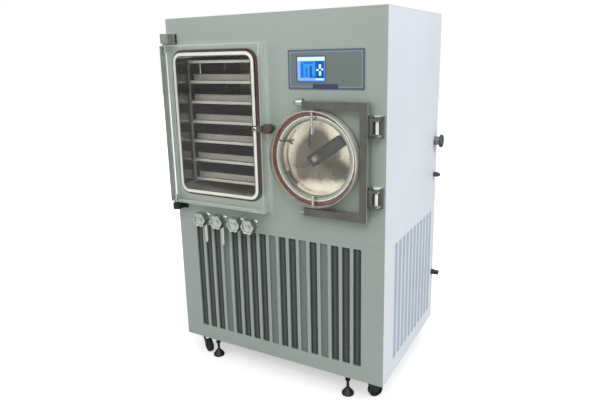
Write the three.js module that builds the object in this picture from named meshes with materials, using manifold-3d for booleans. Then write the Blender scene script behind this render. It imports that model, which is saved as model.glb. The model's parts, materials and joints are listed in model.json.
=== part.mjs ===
// A pilot freeze dryer: a floor-standing sheet-metal cabinet on casters, with a shelved drying chamber behind
// a thick clear door on the left, and a round condenser behind a clear disc in a swinging frame on the right.
// Millimetres, +Z up, +Y from the front to the back. The origin is on the floor, under the machine's middle.
import * as THREE from 'three';
import { mergeVertices } from 'three/addons/utils/BufferGeometryUtils.js';
import Module from 'manifold-3d';

const wasm = await Module();
wasm.setup();

// ----------------------------------------------------------------------------------------------------
// Driving sizes. "above" is a height over the cabinet's underside. x is from the cabinet's middle, and y is
// from the face of its front sheets, so what stands proud of the front has a negative y.

const GAP = 0.3; // between pieces that seat on each other
const RUNNING = 0.6; // between pieces that turn on each other

const cabinet = { width: 1000, depth: 696, height: 1470, lift: 90, sheet: 2, fold: 18 };
const frontSplit = 590; // above: the joint between the upper front sheet and the louvred one
const deck = { above: 646, sheet: 3, flange: 20 };
const pan = { sheet: 3, wall: 40, boss: 14, bossHeight: 15 };

const louvre = { slot: 34, pitch: 48.5, above: 65, height: 505, corner: 3, rim: 8, border: 10 };
const slots = { front: 17, side: 11, rear: 11 };
const sideSlotStart = 120; // from the front face to the first slot of a side panel
const blade = { sheet: 1.6, root: 3, start: 0.5, lap: 5, depth: 16 };
const filter = { sheet: 2, margin: 12 };

const roundSides = 32; // of the condenser's large round pieces
const shellSides = 24; // of the compressor's shell and the fan's shroud
const barrelSides = 16; // of caps, hinge barrels and wheels
const rodSides = 12;

const caster = { sideInset: 75, inset: 42, plate: 6, plateRadius: 26, crown: 24, kingpin: 6, nut: 11 };
const wheel = { radius: 31.5, width: 22, hub: 10, web: 10, tread: 23, axle: 4, trail: 28, rounding: 3 };
const fork = { leg: 3, legGap: 1, end: 9 };
const headings = { front_left: -27, front_right: 46, rear_left: 205, rear_right: 152 }; // of each trail
const foot = { sideInset: 162, inset: 22, pad: 26, padHeight: 8, cone: 22, neck: 8, stem: 6, top: 128 };
const footNut = { radius: 11, height: 8, drop: 26 };

// The drying chamber: its mouth, its shelves and the trays on them.
const chamber = { x: -250, width: 376, above: 740, height: 570, depth: 450, corner: 24, wall: 8 };
const mouth = { lip: 18, proud: 15.7, length: 36 };
const chamberGasket = { width: 10, thickness: 7.7 };
const shelf = { count: 7, sideGap: 8, front: 55, back: 20, thickness: 14, corner: 5, chamfer: 2 };
const shelfStack = { lowest: 22.5, pitch: 86.5 };
const tray = { inset: 6, frontInset: 7.5, height: 26.7, wall: 1.5, rim: 3.5, rimHeight: 4, corner: 10 };
const guide = { thickness: 6, reach: 16, step: 6, width: 28, ys: [62, 330], low: 12, high: 15 };
const rail = { width: 30, sheet: 4, inset: 18, front: 60, back: 20 };

// The drying chamber's door, hung on vertical pins that enter its top and bottom edges.
const door = { past: { left: 54, right: 66, low: 60, high: 48 }, thickness: 42, corner: 4, chamfer: 2 };
const doorHinge = { inset: 16, pin: 6, reach: 28, barrel: 19, collar: 12, collarHeight: 8 };
const doorHingeHeight = { upper: 40, lower: 30 };
const doorHingePlate = { left: 22, right: 33, thickness: 12, neck: 16 };
const latch = { above: 1029, past: 26, height: 24, sheet: 4, tab: 42, ear: 16 };
const latchScrew = { radius: 5, hole: 6, depth: 14 }; // "depth" is how far its tip goes into the boss
const latchBoss = { radius: 12, length: 22, bore: 6.5, floor: 6 };
const latchKnob = { radius: 21, dip: 3, lobes: 6, length: 28, chamfer: 2, hub: 10, hubLength: 7 };

// The condenser: its vessel, the spun baffle in its mouth, and the disc door in its swinging frame.
const condenser = { x: 219, above: 918, bore: 150, wall: 6, depth: 580, dish: 14 };
const vesselLip = { width: 17, proud: 8, length: 22 };
const ledge = { y: 24, height: 7, thickness: 6 };
const saddle = { halfWidth: 100, sheet: 20, ys: [110, 460], spread: 50 };
const disc = { overhang: 3, thickness: 45, standOff: 10, chamfer: 3 };
const discGasket = { width: 18 };
const baffle = { rim: 12, sheet: 2, play: 1.5, flat: 8, crown: 30, rise: 11.7 };
const lever = { tipGap: 4.5, width: 46, tail: 24, thickness: 16, corner: 9, chamfer: 1.5, heading: 35 };
const leverPocket = { wall: 5, depth: 5, corner: 4, pivot: 25, rib: 5 }; // "pivot" is where the rib starts
const leverShaft = { hub: 25, radius: 10, nut: 18, nutLength: 8, head: 10, headProud: 4 };
const swingFrame = { bar: 30, chamfer: 1.5, front: -48, armGap: 5, sideGap: 8, armEnd: 39 };
const trunnion = { radius: 5, upper: 88, lower: 45 };
const armCap = { upper: { length: 40, radius: 14.5, up: 8 }, lower: { length: 34, radius: 9, up: -8 } };
const capNose = 0.45; // of a cap's radius
const frameHinge = { past: 29, y: -26, pin: 6, barrel: 13, lug: 12, lugHeight: 7, ear: 10, height: 81 };
const frameHingePlate = { left: 24, right: 18, thickness: 10, leaf: 20 };
const frameHingesAbove = { upper: 1010, lower: 747 };

const panel = { left: 102, above: 1181, width: 314, height: 146, thickness: 3, rim: 8, recess: 1, corner: 3 };
const screen = { left: 143, above: 1210, width: 115, height: 90, step: 2, depth: 34 };

const valve = { xs: [-332, -241, -150, -78], above: 615, body: 13, collar: 17, collarLength: 6, front: -30 };
const valveKnob = { radius: 34, dip: 5, lobes: 6, length: 32, chamfer: 3, boss: 12, bossLength: 8 };
const valveStem = { radius: 5, length: 28 };
const header = { radius: 13, y: 46, past: 13 };
const spout = { count: 2, radius: 8, tip: 5.5, tipLength: 8, drop: 108, y: -20 };

const compressor = {
  x: -220,
  y: 330,
  radius: 105,
  height: 250,
  stand: 28,
  plate: 4,
  corner: 20,
  pipe: 7,
  pipeReach: 25,
  shell: [74, 30, 45, 62], // radius at the low end, low and high shoulder heights, radius at the high end
};
const coil = { x: 235, y: 60, width: 380, core: 20, fins: 16, finDepth: 36, above: 53, height: 380, leg: 30 };
const shroud = { radius: 152, wall: 3, depth: 46 };
const motor = { radius: 30, length: 12 };
const fan = { blades: 5, reach: 142, width: 50, sheet: 3, pitch: 24, hub: 26, hubLength: 24, hubOverlap: 8 };
const fanShaft = 5;
const vacuumPipe = { above: 905, y: 655, radius: 20, proud: 35, flange: 30, flangeLength: 10, bend: 40 };
const drainPipe = { above: 745, y: 655, radius: 8, proud: 30, union: 12, start: 560, bend: 12 };
const gland = { above: 245, y: 678, radius: 11, nut: 14, nutLength: 12, proud: 34 };

// ----------------------------------------------------------------------------------------------------
// Places worked out from the driving sizes.

const halfWidth = cabinet.width / 2;
const bottom = cabinet.lift;
const top = cabinet.lift + cabinet.height;
const above = (height) => bottom + height;
const behindFront = cabinet.sheet + GAP; // y of what lies against the back of a front sheet
const beforeRear = cabinet.depth - cabinet.sheet - GAP; // y of what lies against the rear sheet
const insideFolds = halfWidth - 2 * cabinet.sheet - 2 * GAP; // x of what lies inside the front sheets' folds
const underLid = top - cabinet.sheet - GAP;
const deckTop = above(deck.above) + deck.sheet;
const panTop = bottom + pan.sheet;

const mouthBox = {
  left: chamber.x - chamber.width / 2,
  right: chamber.x + chamber.width / 2,
  low: above(chamber.above),
  high: above(chamber.above + chamber.height),
};
const lowestShelf = mouthBox.low + shelfStack.lowest;
const shelfLows = Array.from({ length: shelf.count }, (_, i) => lowestShelf + i * shelfStack.pitch);

const shelfWidth = chamber.width - 2 * shelf.sideGap;
const shelfDepth = chamber.depth - shelf.front - shelf.back;

const doorLeft = mouthBox.left - door.past.left;
const doorRight = mouthBox.right + door.past.right;
const doorLow = mouthBox.low - door.past.low;
const doorHigh = mouthBox.high + door.past.high;
const doorBack = -mouth.proud - GAP;
const doorFront = doorBack - door.thickness;
const doorAxis = { x: doorLeft + doorHinge.inset, y: (doorFront + doorBack) / 2 };
const latchX = doorRight + latch.past;
const latchZ = above(latch.above);
const latchTab = { back: -latchBoss.length - GAP, front: -latchBoss.length - GAP - latch.sheet };

const condenserZ = above(condenser.above);
const lipRadius = condenser.bore + vesselLip.width;
const discRadius = lipRadius + discGasket.width + disc.overhang;
const discBack = -disc.standOff;
const discFront = discBack - disc.thickness;
const trunnionY = (discFront + discBack) / 2;
const rimInner = condenser.bore - baffle.play - baffle.sheet;
const leverLength = rimInner - lever.tipGap;
const swingBack = swingFrame.front + swingFrame.bar;
const swingSpan = discRadius + swingFrame.armGap + swingFrame.bar; // to an arm's far face
const swingLeft = condenser.x - swingFrame.armEnd;
const swingRight = condenser.x + discRadius + swingFrame.sideGap + swingFrame.bar;
const frameHingeX = swingRight + frameHinge.past;

// ----------------------------------------------------------------------------------------------------
// Outlines, as lists of points.

const sorted = (a, b) => (a < b ? [a, b] : [b, a]);

const rectangle = (x0, y0, x1, y1) => [
  [x0, y0],
  [x1, y0],
  [x1, y1],
  [x0, y1],
];

function arc(cx, cy, radius, from, to, steps) {
  return Array.from({ length: steps + 1 }, (_, i) => {
    const angle = from + ((to - from) * i) / steps;
    return [cx + radius * Math.cos(angle), cy + radius * Math.sin(angle)];
  });
}

function circle(cx, cy, radius, sides) {
  return arc(cx, cy, radius, 0, 2 * Math.PI, sides).slice(0, sides);
}

function rounded(x0, y0, x1, y1, radius, steps) {
  const quarter = Math.PI / 2;
  return [
    ...arc(x1 - radius, y0 + radius, radius, -quarter, 0, steps),
    ...arc(x1 - radius, y1 - radius, radius, 0, quarter, steps),
    ...arc(x0 + radius, y1 - radius, radius, quarter, 2 * quarter, steps),
    ...arc(x0 + radius, y0 + radius, radius, 2 * quarter, 3 * quarter, steps),
  ];
}

// A grip outline whose edge swells and dips evenly round the circle.
function lobed(radius, dip, lobes) {
  const steps = lobes * 4;
  return Array.from({ length: steps }, (_, i) => {
    const angle = (2 * Math.PI * i) / steps;
    const r = radius - (dip * (1 - Math.cos(lobes * angle))) / 2;
    return [r * Math.cos(angle), r * Math.sin(angle)];
  });
}

// The drying chamber's mouth, grown outwards by a distance.
const mouthOutline = (grow) =>
  rounded(
    mouthBox.left - grow,
    mouthBox.low - grow,
    mouthBox.right + grow,
    mouthBox.high + grow,
    chamber.corner + grow,
    5,
  );

// ----------------------------------------------------------------------------------------------------
// Forms: prisms, turned solids and bent rods, and how they are joined and cut.

function shapeOf(points, holes = []) {
  const shape = new THREE.Shape(points.map(([x, y]) => new THREE.Vector2(x, y)));
  shape.holes = holes.map((hole) => new THREE.Path(hole.map(([x, y]) => new THREE.Vector2(x, y))));
  return shape;
}

// Carries an outline along an axis. "top" outlines are (x, y) and rise along z, "front" ones are (x, z) and
// run along y, and "side" ones are (y, z) and run along x.
function prism(view, from, to, points, holes = [], chamfer = 0) {
  const geometry = new THREE.ExtrudeGeometry(shapeOf(points, holes), {
    depth: to - from - 2 * chamfer,
    bevelEnabled: chamfer > 0,
    bevelThickness: chamfer,
    bevelSize: chamfer,
    bevelOffset: -chamfer,
    bevelSegments: 1,
  });
  const turn = new THREE.Matrix4();
  if (view === 'front') turn.set(1, 0, 0, 0, 0, 0, -1, to - chamfer, 0, 1, 0, 0, 0, 0, 0, 1);
  if (view === 'side') turn.set(0, 0, 1, from + chamfer, 1, 0, 0, 0, 0, 1, 0, 0, 0, 0, 0, 1);
  if (view === 'top') turn.makeTranslation(0, 0, from + chamfer);
  return geometry.applyMatrix4(turn);
}

// Turns a closed profile of [radius, place along the axis] pairs, given anticlockwise.
function turned(axis, sides, profile) {
  const points = [...profile, profile[0]].map(([radius, along]) => new THREE.Vector2(radius, along));
  const geometry = new THREE.LatheGeometry(points, sides);
  if (axis === 'z') geometry.rotateX(Math.PI / 2);
  if (axis === 'x') geometry.rotateZ(-Math.PI / 2);
  return geometry;
}

const rod = (axis, radius, from, to, sides = rodSides) =>
  turned(axis, sides, [
    [0, from],
    [radius, from],
    [radius, to],
    [0, to],
  ]);

const ring = (axis, inner, outer, from, to, sides) =>
  turned(axis, sides, [
    [inner, from],
    [outer, from],
    [outer, to],
    [inner, to],
  ]);

// A round bar along straight runs, with a rounded bend at each corner between them.
function bentRod(points, radius, bend) {
  const corners = points.map((point) => new THREE.Vector3(...point));
  const path = new THREE.CurvePath();
  const towards = (from, to) => to.clone().sub(from).normalize();
  let start = corners[0];
  for (let i = 1; i < corners.length - 1; i += 1) {
    const enter = corners[i].clone().addScaledVector(towards(corners[i - 1], corners[i]), -bend);
    const leave = corners[i].clone().addScaledVector(towards(corners[i], corners[i + 1]), bend);
    path.add(new THREE.LineCurve3(start, enter));
    path.add(new THREE.QuadraticBezierCurve3(enter, corners[i], leave));
    start = leave;
  }
  path.add(new THREE.LineCurve3(start, corners[corners.length - 1]));
  return new THREE.ExtrudeGeometry(shapeOf(circle(0, 0, radius, 8)), {
    extrudePath: path,
    steps: 6 * (points.length - 1),
    bevelEnabled: false,
  });
}

function solidOf(geometry) {
  const bare = geometry.clone();
  bare.deleteAttribute('normal');
  bare.deleteAttribute('uv');
  const merged = mergeVertices(bare, 1e-4);
  const index = merged.index.array;
  const triangles = [];
  for (let i = 0; i < index.length; i += 3) {
    const [a, b, c] = index.subarray(i, i + 3);
    if (a !== b && b !== c && c !== a) triangles.push(a, b, c);
  }
  return new wasm.Manifold(
    new wasm.Mesh({
      numProp: 3,
      vertProperties: merged.attributes.position.array,
      triVerts: new Uint32Array(triangles),
    }),
  );
}

function geometryOf(solid) {
  const { vertProperties, triVerts } = solid.getMesh();
  const geometry = new THREE.BufferGeometry();
  geometry.setAttribute('position', new THREE.BufferAttribute(vertProperties, 3));
  geometry.setIndex(new THREE.BufferAttribute(triVerts, 1));
  const flat = geometry.toNonIndexed();
  flat.computeVertexNormals();
  return flat;
}

const join = (...parts) => geometryOf(parts.map(solidOf).reduce((whole, part) => whole.add(part)));
const cut = (part, ...tools) =>
  geometryOf(tools.map(solidOf).reduce((whole, tool) => whole.subtract(tool), solidOf(part)));
const moved = (geometry, x, y, z) => geometry.clone().translate(x, y, z);

// ----------------------------------------------------------------------------------------------------
// Finishes.

const finish = (color, roughness, metalness, opacity = 1) =>
  new THREE.MeshStandardMaterial({ color, roughness, metalness, opacity, transparent: opacity < 1 });

const frontPaint = finish(0xa2aba4, 0.5, 0.1);
const sidePaint = finish(0xdfe6ee, 0.5, 0.1);
const panelFace = finish(0x7d827f, 0.5, 0.1);
const displayGlass = finish(0x2f6fd0, 0.15, 0);
const stainless = finish(0xb9b6b0, 0.35, 0.9);
const polishedSteel = finish(0xd3cabb, 0.15, 1);
const galvanised = finish(0x9aa0a3, 0.5, 0.8);
const chrome = finish(0xd9dcde, 0.12, 1);
const darkMetal = finish(0x3d4043, 0.45, 0.7);
const castMetal = finish(0x6e6c66, 0.45, 0.7);
const acrylic = finish(0xdfe9e4, 0.05, 0, 0.25);
const redSilicone = finish(0x7a2a2e, 0.6, 0);
const blackPlastic = finish(0x24231f, 0.5, 0);
const blackPaint = finish(0x1f2022, 0.5, 0.3);

const machine = new THREE.Group();

function addPiece(name, geometry, material, parent = machine) {
  const mesh = new THREE.Mesh(geometry, material);
  mesh.name = name;
  parent.add(mesh);
  return mesh;
}

function addGroup(x, y, z) {
  const group = new THREE.Group();
  group.position.set(x, y, z);
  machine.add(group);
  return group;
}

// ----------------------------------------------------------------------------------------------------
// Cabinet sheets. The long edges of each louvre slot are folded inwards, which makes deep bars between slots.

const slotSpan = (count) => (count - 1) * louvre.pitch + louvre.slot;

function slotOutlines(start, count, corner) {
  return Array.from({ length: count }, (_, i) => {
    const left = start + i * louvre.pitch;
    const low = above(louvre.above);
    const [right, high] = [left + louvre.slot, low + louvre.height];
    return corner > 0 ? rounded(left, low, right, high, corner, 1) : rectangle(left, low, right, high);
  });
}

// The folded bars of a field of louvre slots, and the openings between them. The outside of the sheet lies at
// "outer". "inward" is 1 or -1, the way along the sheet's axis that leads into the cabinet.
function louvreField(view, outer, inward, start, count, corner = 0) {
  const field = rectangle(
    start - louvre.border,
    above(louvre.above) - louvre.border,
    start + slotSpan(count) + louvre.border,
    above(louvre.above) + louvre.height + louvre.border,
  );
  const [front, back] = sorted(outer + (inward * cabinet.sheet) / 2, outer + inward * louvre.rim);
  const openings = slotOutlines(start, count, corner).map((hole) => throughHole(view, outer, hole));
  return { bars: prism(view, front, back, field), openings };
}

// The blades of such a field. Each slants inwards from the far edge of its slot, and laps the bar before it.
function louvreBlades(view, outer, inward, start, count) {
  const low = above(louvre.above) - blade.root;
  const high = above(louvre.above) + louvre.height + blade.root;
  const at = (along, depth) => {
    const across = outer + inward * depth;
    return view === 'side' ? [across, along] : [along, across];
  };
  return Array.from({ length: count }, (_, i) => {
    const slotLeft = start + i * louvre.pitch;
    const near = slotLeft - blade.lap;
    const far = slotLeft + louvre.slot + blade.root;
    return prism('top', low, high, [
      at(far, blade.start),
      at(near, blade.depth),
      at(near, blade.depth + blade.sheet),
      at(far, blade.start + blade.sheet),
    ]);
  });
}

// A cutter that passes right through a sheet and the bars behind it.
function throughHole(view, outer, outline) {
  const reach = louvre.rim + 1;
  return prism(view, outer - reach, outer + reach, outline);
}

// A front sheet whose side edges are folded back, just inside the side panels.
function foldedFront(low, high) {
  const outer = halfWidth - cabinet.sheet - GAP;
  const inner = outer - cabinet.sheet;
  const right = [
    [halfWidth, 0],
    [halfWidth, cabinet.sheet],
    [outer, cabinet.sheet],
    [outer, cabinet.fold],
    [inner, cabinet.fold],
    [inner, cabinet.sheet],
  ];
  const left = right.map(([x, y]) => [-x, y]).reverse();
  return prism('top', low, high, [...right, ...left]);
}

function frontPanel() {
  const holes = [
    mouthOutline(mouth.lip + GAP),
    circle(condenser.x, condenserZ, lipRadius + GAP, roundSides),
    screenOutline(screen.step - GAP),
    ...valve.xs.map((x) => circle(x, above(valve.above), valve.body + GAP, rodSides)),
  ];
  const sheet = foldedFront(above(frontSplit) + GAP, underLid);
  return cut(sheet, ...holes.map((hole) => throughHole('front', 0, hole)));
}

function frontGrille() {
  const start = -slotSpan(slots.front) / 2;
  const { bars, openings } = louvreField('front', 0, 1, start, slots.front, louvre.corner);
  return cut(join(foldedFront(bottom, above(frontSplit)), bars), ...openings);
}

function filterMesh() {
  const half = slotSpan(slots.front) / 2 + filter.margin;
  const low = above(louvre.above) - filter.margin;
  const high = above(louvre.above) + louvre.height + filter.margin;
  const front = louvre.rim + GAP;
  return prism('front', front, front + filter.sheet, rectangle(-half, low, half, high));
}

function sidePanel(side, pipeHoles = []) {
  const outer = side * halfWidth;
  const [from, to] = sorted(outer, outer - side * cabinet.sheet);
  const sheet = prism('side', from, to, rectangle(behindFront, bottom, beforeRear, underLid));
  const { bars, openings } = louvreField('side', outer, -side, sideSlotStart, slots.side);
  const holes = pipeHoles.map((hole) => throughHole('side', outer, hole));
  const blades = louvreBlades('side', outer, -side, sideSlotStart, slots.side);
  return join(cut(join(sheet, bars), ...openings, ...holes), ...blades);
}

// A hole for a round pipe, whose flat sides still clear the pipe.
const pipeHole = (y, z, radius) => circle(y, z, (radius + GAP) / Math.cos(Math.PI / rodSides), rodSides);

// The right panel lets the vacuum and drain pipes through, and carries the gland of the supply cable.
function rightSidePanel() {
  const holes = [
    pipeHole(vacuumPipe.y, above(vacuumPipe.above), vacuumPipe.radius),
    pipeHole(drainPipe.y, above(drainPipe.above), drainPipe.radius),
  ];
  const inner = halfWidth - cabinet.sheet / 2;
  const body = rod('x', gland.radius, inner, halfWidth + gland.proud);
  const nut = rod('x', gland.nut, inner, halfWidth + gland.nutLength, 6);
  const z = above(gland.above);
  return join(sidePanel(1, holes), moved(body, 0, gland.y, z), moved(nut, 0, gland.y, z));
}

function rearPanel() {
  const outer = cabinet.depth;
  const start = -slotSpan(slots.rear) / 2;
  const outline = rectangle(-halfWidth, bottom, halfWidth, underLid);
  const sheet = prism('front', outer - cabinet.sheet, outer, outline);
  const { bars, openings } = louvreField('front', outer, -1, start, slots.rear);
  return join(cut(join(sheet, bars), ...openings), ...louvreBlades('front', outer, -1, start, slots.rear));
}

// The walls of a shallow folded tray or lid, as a ring of sheet.
function foldedEdge(from, to, x, front, back, sheet) {
  const inside = rectangle(-x + sheet, front + sheet, x - sheet, back - sheet);
  return prism('top', from, to, rectangle(-x, front, x, back), [inside]);
}

function topPanel() {
  const front = behindFront + cabinet.sheet + GAP;
  const lid = prism('top', top - cabinet.sheet, top, rectangle(-halfWidth, 0, halfWidth, cabinet.depth));
  const edge = foldedEdge(
    top - cabinet.fold,
    top - cabinet.sheet / 2,
    insideFolds,
    front,
    cabinet.depth - front,
    cabinet.sheet,
  );
  return join(lid, edge);
}

// A sheet that parts the machinery below from the chambers above, folded down all round.
function midDeck() {
  const front = behindFront + cabinet.fold;
  const sheet = rectangle(-insideFolds, front, insideFolds, beforeRear);
  const edge = foldedEdge(deckTop - deck.flange, deckTop - 1, insideFolds, front, beforeRear, deck.sheet);
  return join(prism('top', deckTop - deck.sheet, deckTop, sheet), edge);
}

const corners = [
  { name: 'front_left', side: -1, y: (inset) => inset },
  { name: 'front_right', side: 1, y: (inset) => inset },
  { name: 'rear_left', side: -1, y: (inset) => cabinet.depth - inset },
  { name: 'rear_right', side: 1, y: (inset) => cabinet.depth - inset },
];
const casterAt = (corner) => [corner.side * (halfWidth - caster.sideInset), corner.y(caster.inset)];
const footAt = (corner) => [corner.side * (halfWidth - foot.sideInset), corner.y(foot.inset)];

// A folded tray that carries the machine. Each corner has a caster plate under it and a threaded boss on it.
function basePan() {
  const sheet = rectangle(-insideFolds, behindFront, insideFolds, beforeRear);
  const bodies = [
    prism('top', bottom, panTop, sheet),
    foldedEdge(bottom, bottom + pan.wall, insideFolds, behindFront, beforeRear, pan.sheet),
  ];
  const holes = [];
  for (const corner of corners) {
    const [cx, cy] = casterAt(corner);
    const [fx, fy] = footAt(corner);
    bodies.push(moved(rod('z', caster.plateRadius, bottom - caster.plate, bottom + 1), cx, cy, 0));
    bodies.push(moved(rod('z', pan.boss, bottom + 1, bottom + pan.bossHeight), fx, fy, 0));
    holes.push(moved(rod('z', caster.kingpin + RUNNING, 0, panTop + 1), cx, cy, 0));
    holes.push(moved(rod('z', foot.stem + RUNNING, 0, bottom + pan.bossHeight + 1), fx, fy, 0));
  }
  return cut(join(...bodies), ...holes);
}

addPiece('front_panel', frontPanel(), frontPaint);
addPiece('front_grille', frontGrille(), frontPaint);
addPiece('filter_mesh', filterMesh(), darkMetal);
addPiece('left_side_panel', sidePanel(-1), sidePaint);
addPiece('right_side_panel', rightSidePanel(), sidePaint);
addPiece('rear_panel', rearPanel(), sidePaint);
addPiece('top_panel', topPanel(), sidePaint);
addPiece('base_pan', basePan(), galvanised);
addPiece('mid_deck', midDeck(), galvanised);

// ----------------------------------------------------------------------------------------------------
// Casters and levelling feet.

// A swivel fork. Its kingpin is the z axis, its wheel trails along +x, and z is measured from the floor.
function casterFork() {
  const crownHigh = bottom - caster.plate - GAP;
  const crownLow = crownHigh - caster.plate;
  const legInner = wheel.width / 2 + fork.legGap;
  const legOutline = [
    [caster.crown - 4, crownHigh - 2],
    [4 - caster.crown + fork.end, crownHigh - 2],
    [4 - caster.crown + fork.end, crownLow - fork.end],
    ...arc(wheel.trail, wheel.radius, fork.end, -2.6, 0.5, 5),
  ];
  const head = panTop + RUNNING;
  const pieces = [
    rod('z', caster.crown, crownLow, crownHigh, barrelSides),
    rod('z', caster.kingpin, crownHigh - 1, head + 1),
    rod('z', caster.nut, head, head + fork.end, 6),
    moved(rod('y', wheel.axle, -legInner - 1, legInner + 1), wheel.trail, 0, wheel.radius),
    prism('front', legInner, legInner + fork.leg, legOutline),
    prism('front', -legInner - fork.leg, -legInner, legOutline),
  ];
  return join(...pieces);
}

function casterWheel() {
  const half = wheel.width / 2;
  const bore = wheel.axle + RUNNING;
  return join(
    turned('y', barrelSides, [
      [bore, -half],
      [wheel.hub, -half],
      [wheel.tread, -wheel.web / 2],
      [wheel.tread, -half],
      [wheel.radius - wheel.rounding, -half],
      [wheel.radius, -half + wheel.rounding],
      [wheel.radius, half - wheel.rounding],
      [wheel.radius - wheel.rounding, half],
      [wheel.tread, half],
      [wheel.tread, wheel.web / 2],
      [wheel.hub, half],
      [bore, half],
    ]),
  );
}

// A screwed foot, with the flange of its lock nut halfway up the stem.
function levellingFoot() {
  const coneTop = foot.padHeight + foot.cone;
  const nutLow = bottom - footNut.drop;
  const nutHigh = nutLow + footNut.height;
  return join(
    turned('z', rodSides, [
      [0, 0],
      [foot.pad, 0],
      [foot.pad, foot.padHeight],
      [foot.neck, coneTop],
      [foot.stem, coneTop],
      [foot.stem, nutLow],
      [footNut.radius, nutLow],
      [footNut.radius, nutHigh],
      [foot.stem, nutHigh],
      [foot.stem, foot.top],
      [0, foot.top],
    ]),
  );
}

const forkForm = casterFork();
const wheelForm = casterWheel();
const footForm = levellingFoot();
for (const corner of corners) {
  const [x, y] = casterAt(corner);
  const swivel = addGroup(x, y, 0);
  swivel.rotation.z = THREE.MathUtils.degToRad(headings[corner.name]);
  addPiece(`caster_fork_${corner.name}`, forkForm, blackPaint, swivel);
  addPiece(`caster_wheel_${corner.name}`, wheelForm, blackPlastic, swivel).position.set(
    wheel.trail,
    0,
    wheel.radius,
  );
  addPiece(`levelling_foot_${corner.name}`, footForm, blackPaint).position.set(...footAt(corner), 0);
}

// ----------------------------------------------------------------------------------------------------
// Drying chamber, with its shelves and trays.

// A vertical strip on a side wall of the chamber, with a step under each shelf. "side" is -1 on the left.
function shelfGuide(side) {
  const wall = side < 0 ? mouthBox.left : mouthBox.right;
  const inwards = (distance) => wall - side * distance;
  const edge = [[inwards(guide.thickness), mouthBox.low + guide.low]];
  for (const low of shelfLows) {
    const stepTop = low - GAP;
    edge.push([inwards(guide.thickness), stepTop - guide.step]);
    edge.push([inwards(guide.reach), stepTop - guide.step]);
    edge.push([inwards(guide.reach), stepTop]);
    edge.push([inwards(guide.thickness), stepTop]);
  }
  edge.push([inwards(guide.thickness), mouthBox.high - guide.high]);
  return [[inwards(-1), mouthBox.low + guide.low], ...edge, [inwards(-1), mouthBox.high - guide.high]];
}

// An angle rail under the chamber, which stands it on the deck. "side" is -1 for the left rail.
function chamberRail(side) {
  const web = chamber.x + side * (chamber.width / 2 - rail.inset);
  const toe = web - side * rail.width;
  const base = deckTop + GAP;
  const high = mouthBox.low - 1;
  return [
    [web, base],
    [toe, base],
    [toe, base + rail.sheet],
    [web - side * rail.sheet, base + rail.sheet],
    [web - side * rail.sheet, high],
    [web, high],
  ];
}

function chamberShell() {
  const lip = prism('front', -mouth.proud, mouth.length - mouth.proud, mouthOutline(mouth.lip));
  const body = prism('front', 0, chamber.depth + chamber.wall, mouthOutline(chamber.wall));
  const cavity = prism('front', -mouth.proud - 1, chamber.depth, mouthOutline(0));
  const shell = cut(join(lip, body), cavity);
  const guides = [-1, 1].flatMap((side) =>
    guide.ys.map((y) => prism('front', y, y + guide.width, shelfGuide(side))),
  );
  const railBack = chamber.depth - rail.back;
  const rails = [-1, 1].map((side) => prism('front', rail.front, railBack, chamberRail(side)));
  return join(shell, ...guides, ...rails);
}

function chamberGasketForm() {
  const back = -GAP;
  const outline = mouthOutline(mouth.lip + chamberGasket.width);
  return prism('front', back - chamberGasket.thickness, back, outline, [mouthOutline(mouth.lip + GAP)]);
}

function shelfForm() {
  const x = shelfWidth / 2;
  const outline = rounded(-x, 0, x, shelfDepth, shelf.corner, 1);
  return prism('top', 0, shelf.thickness, outline, [], shelf.chamfer);
}

function trayForm() {
  const x = shelfWidth / 2 - tray.inset;
  const depth = shelfDepth - 2 * tray.frontInset;
  const outline = (inset) => rounded(-x + inset, inset, x - inset, depth - inset, tray.corner - inset, 1);
  const wall = prism('top', 0, tray.height, outline(tray.rim));
  const rim = prism('top', tray.height - tray.rimHeight, tray.height, outline(0));
  const inside = prism('top', tray.wall, tray.height + 1, outline(tray.rim + tray.wall));
  return cut(join(wall, rim), inside);
}

addPiece('chamber_shell', chamberShell(), stainless);
addPiece('chamber_gasket', chamberGasketForm(), redSilicone);
const shelfGeometry = shelfForm();
const trayGeometry = trayForm();
shelfLows.forEach((low, i) => {
  addPiece(`shelf_${i + 1}`, shelfGeometry, stainless).position.set(chamber.x, shelf.front, low);
  if (i === shelf.count - 1) return;
  const trayPiece = addPiece(`tray_${i + 1}`, trayGeometry, stainless);
  trayPiece.position.set(chamber.x, shelf.front + tray.frontInset, low + shelf.thickness + GAP);
});

// ----------------------------------------------------------------------------------------------------
// The drying chamber's door, its two hinge brackets and its screw latch.

function dryingDoor() {
  const outline = rounded(doorLeft, doorLow, doorRight, doorHigh, door.corner, 2);
  const plate = prism('front', doorFront, doorBack, outline, [], door.chamfer);
  const bore = doorHinge.pin + RUNNING;
  const lower = rod('z', bore, doorLow - 1, doorLow + doorHinge.reach + 1);
  const upper = rod('z', bore, doorHigh - doorHinge.reach - 1, doorHigh + 1);
  return cut(plate, moved(lower, doorAxis.x, doorAxis.y, 0), moved(upper, doorAxis.x, doorAxis.y, 0));
}

// A bracket on the front sheet that carries one pin of the door. "edge" is the height of the door's edge that
// the pin enters, and "away" is 1 above the door and -1 below it.
function doorHingeBracket(edge, away, height) {
  const at = (distance) => edge + away * distance;
  const barrelSpan = sorted(at(doorHinge.collarHeight), at(doorHinge.collarHeight + height));
  const plateFront = -GAP - doorHingePlate.thickness;
  const { left, right, neck } = doorHingePlate;
  const bodies = [
    prism('top', ...barrelSpan, rectangle(-left, plateFront - doorAxis.y, right, -GAP - doorAxis.y)),
    prism('top', ...barrelSpan, rectangle(-neck, 0, neck, plateFront + 1 - doorAxis.y)),
    rod('z', doorHinge.barrel, ...barrelSpan, barrelSides),
    rod('z', doorHinge.collar, ...sorted(at(GAP), at(doorHinge.collarHeight + 1))),
    rod('z', doorHinge.pin, ...sorted(at(-doorHinge.reach), at(doorHinge.collarHeight))),
  ];
  return moved(join(...bodies), doorAxis.x, doorAxis.y, 0);
}

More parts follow.
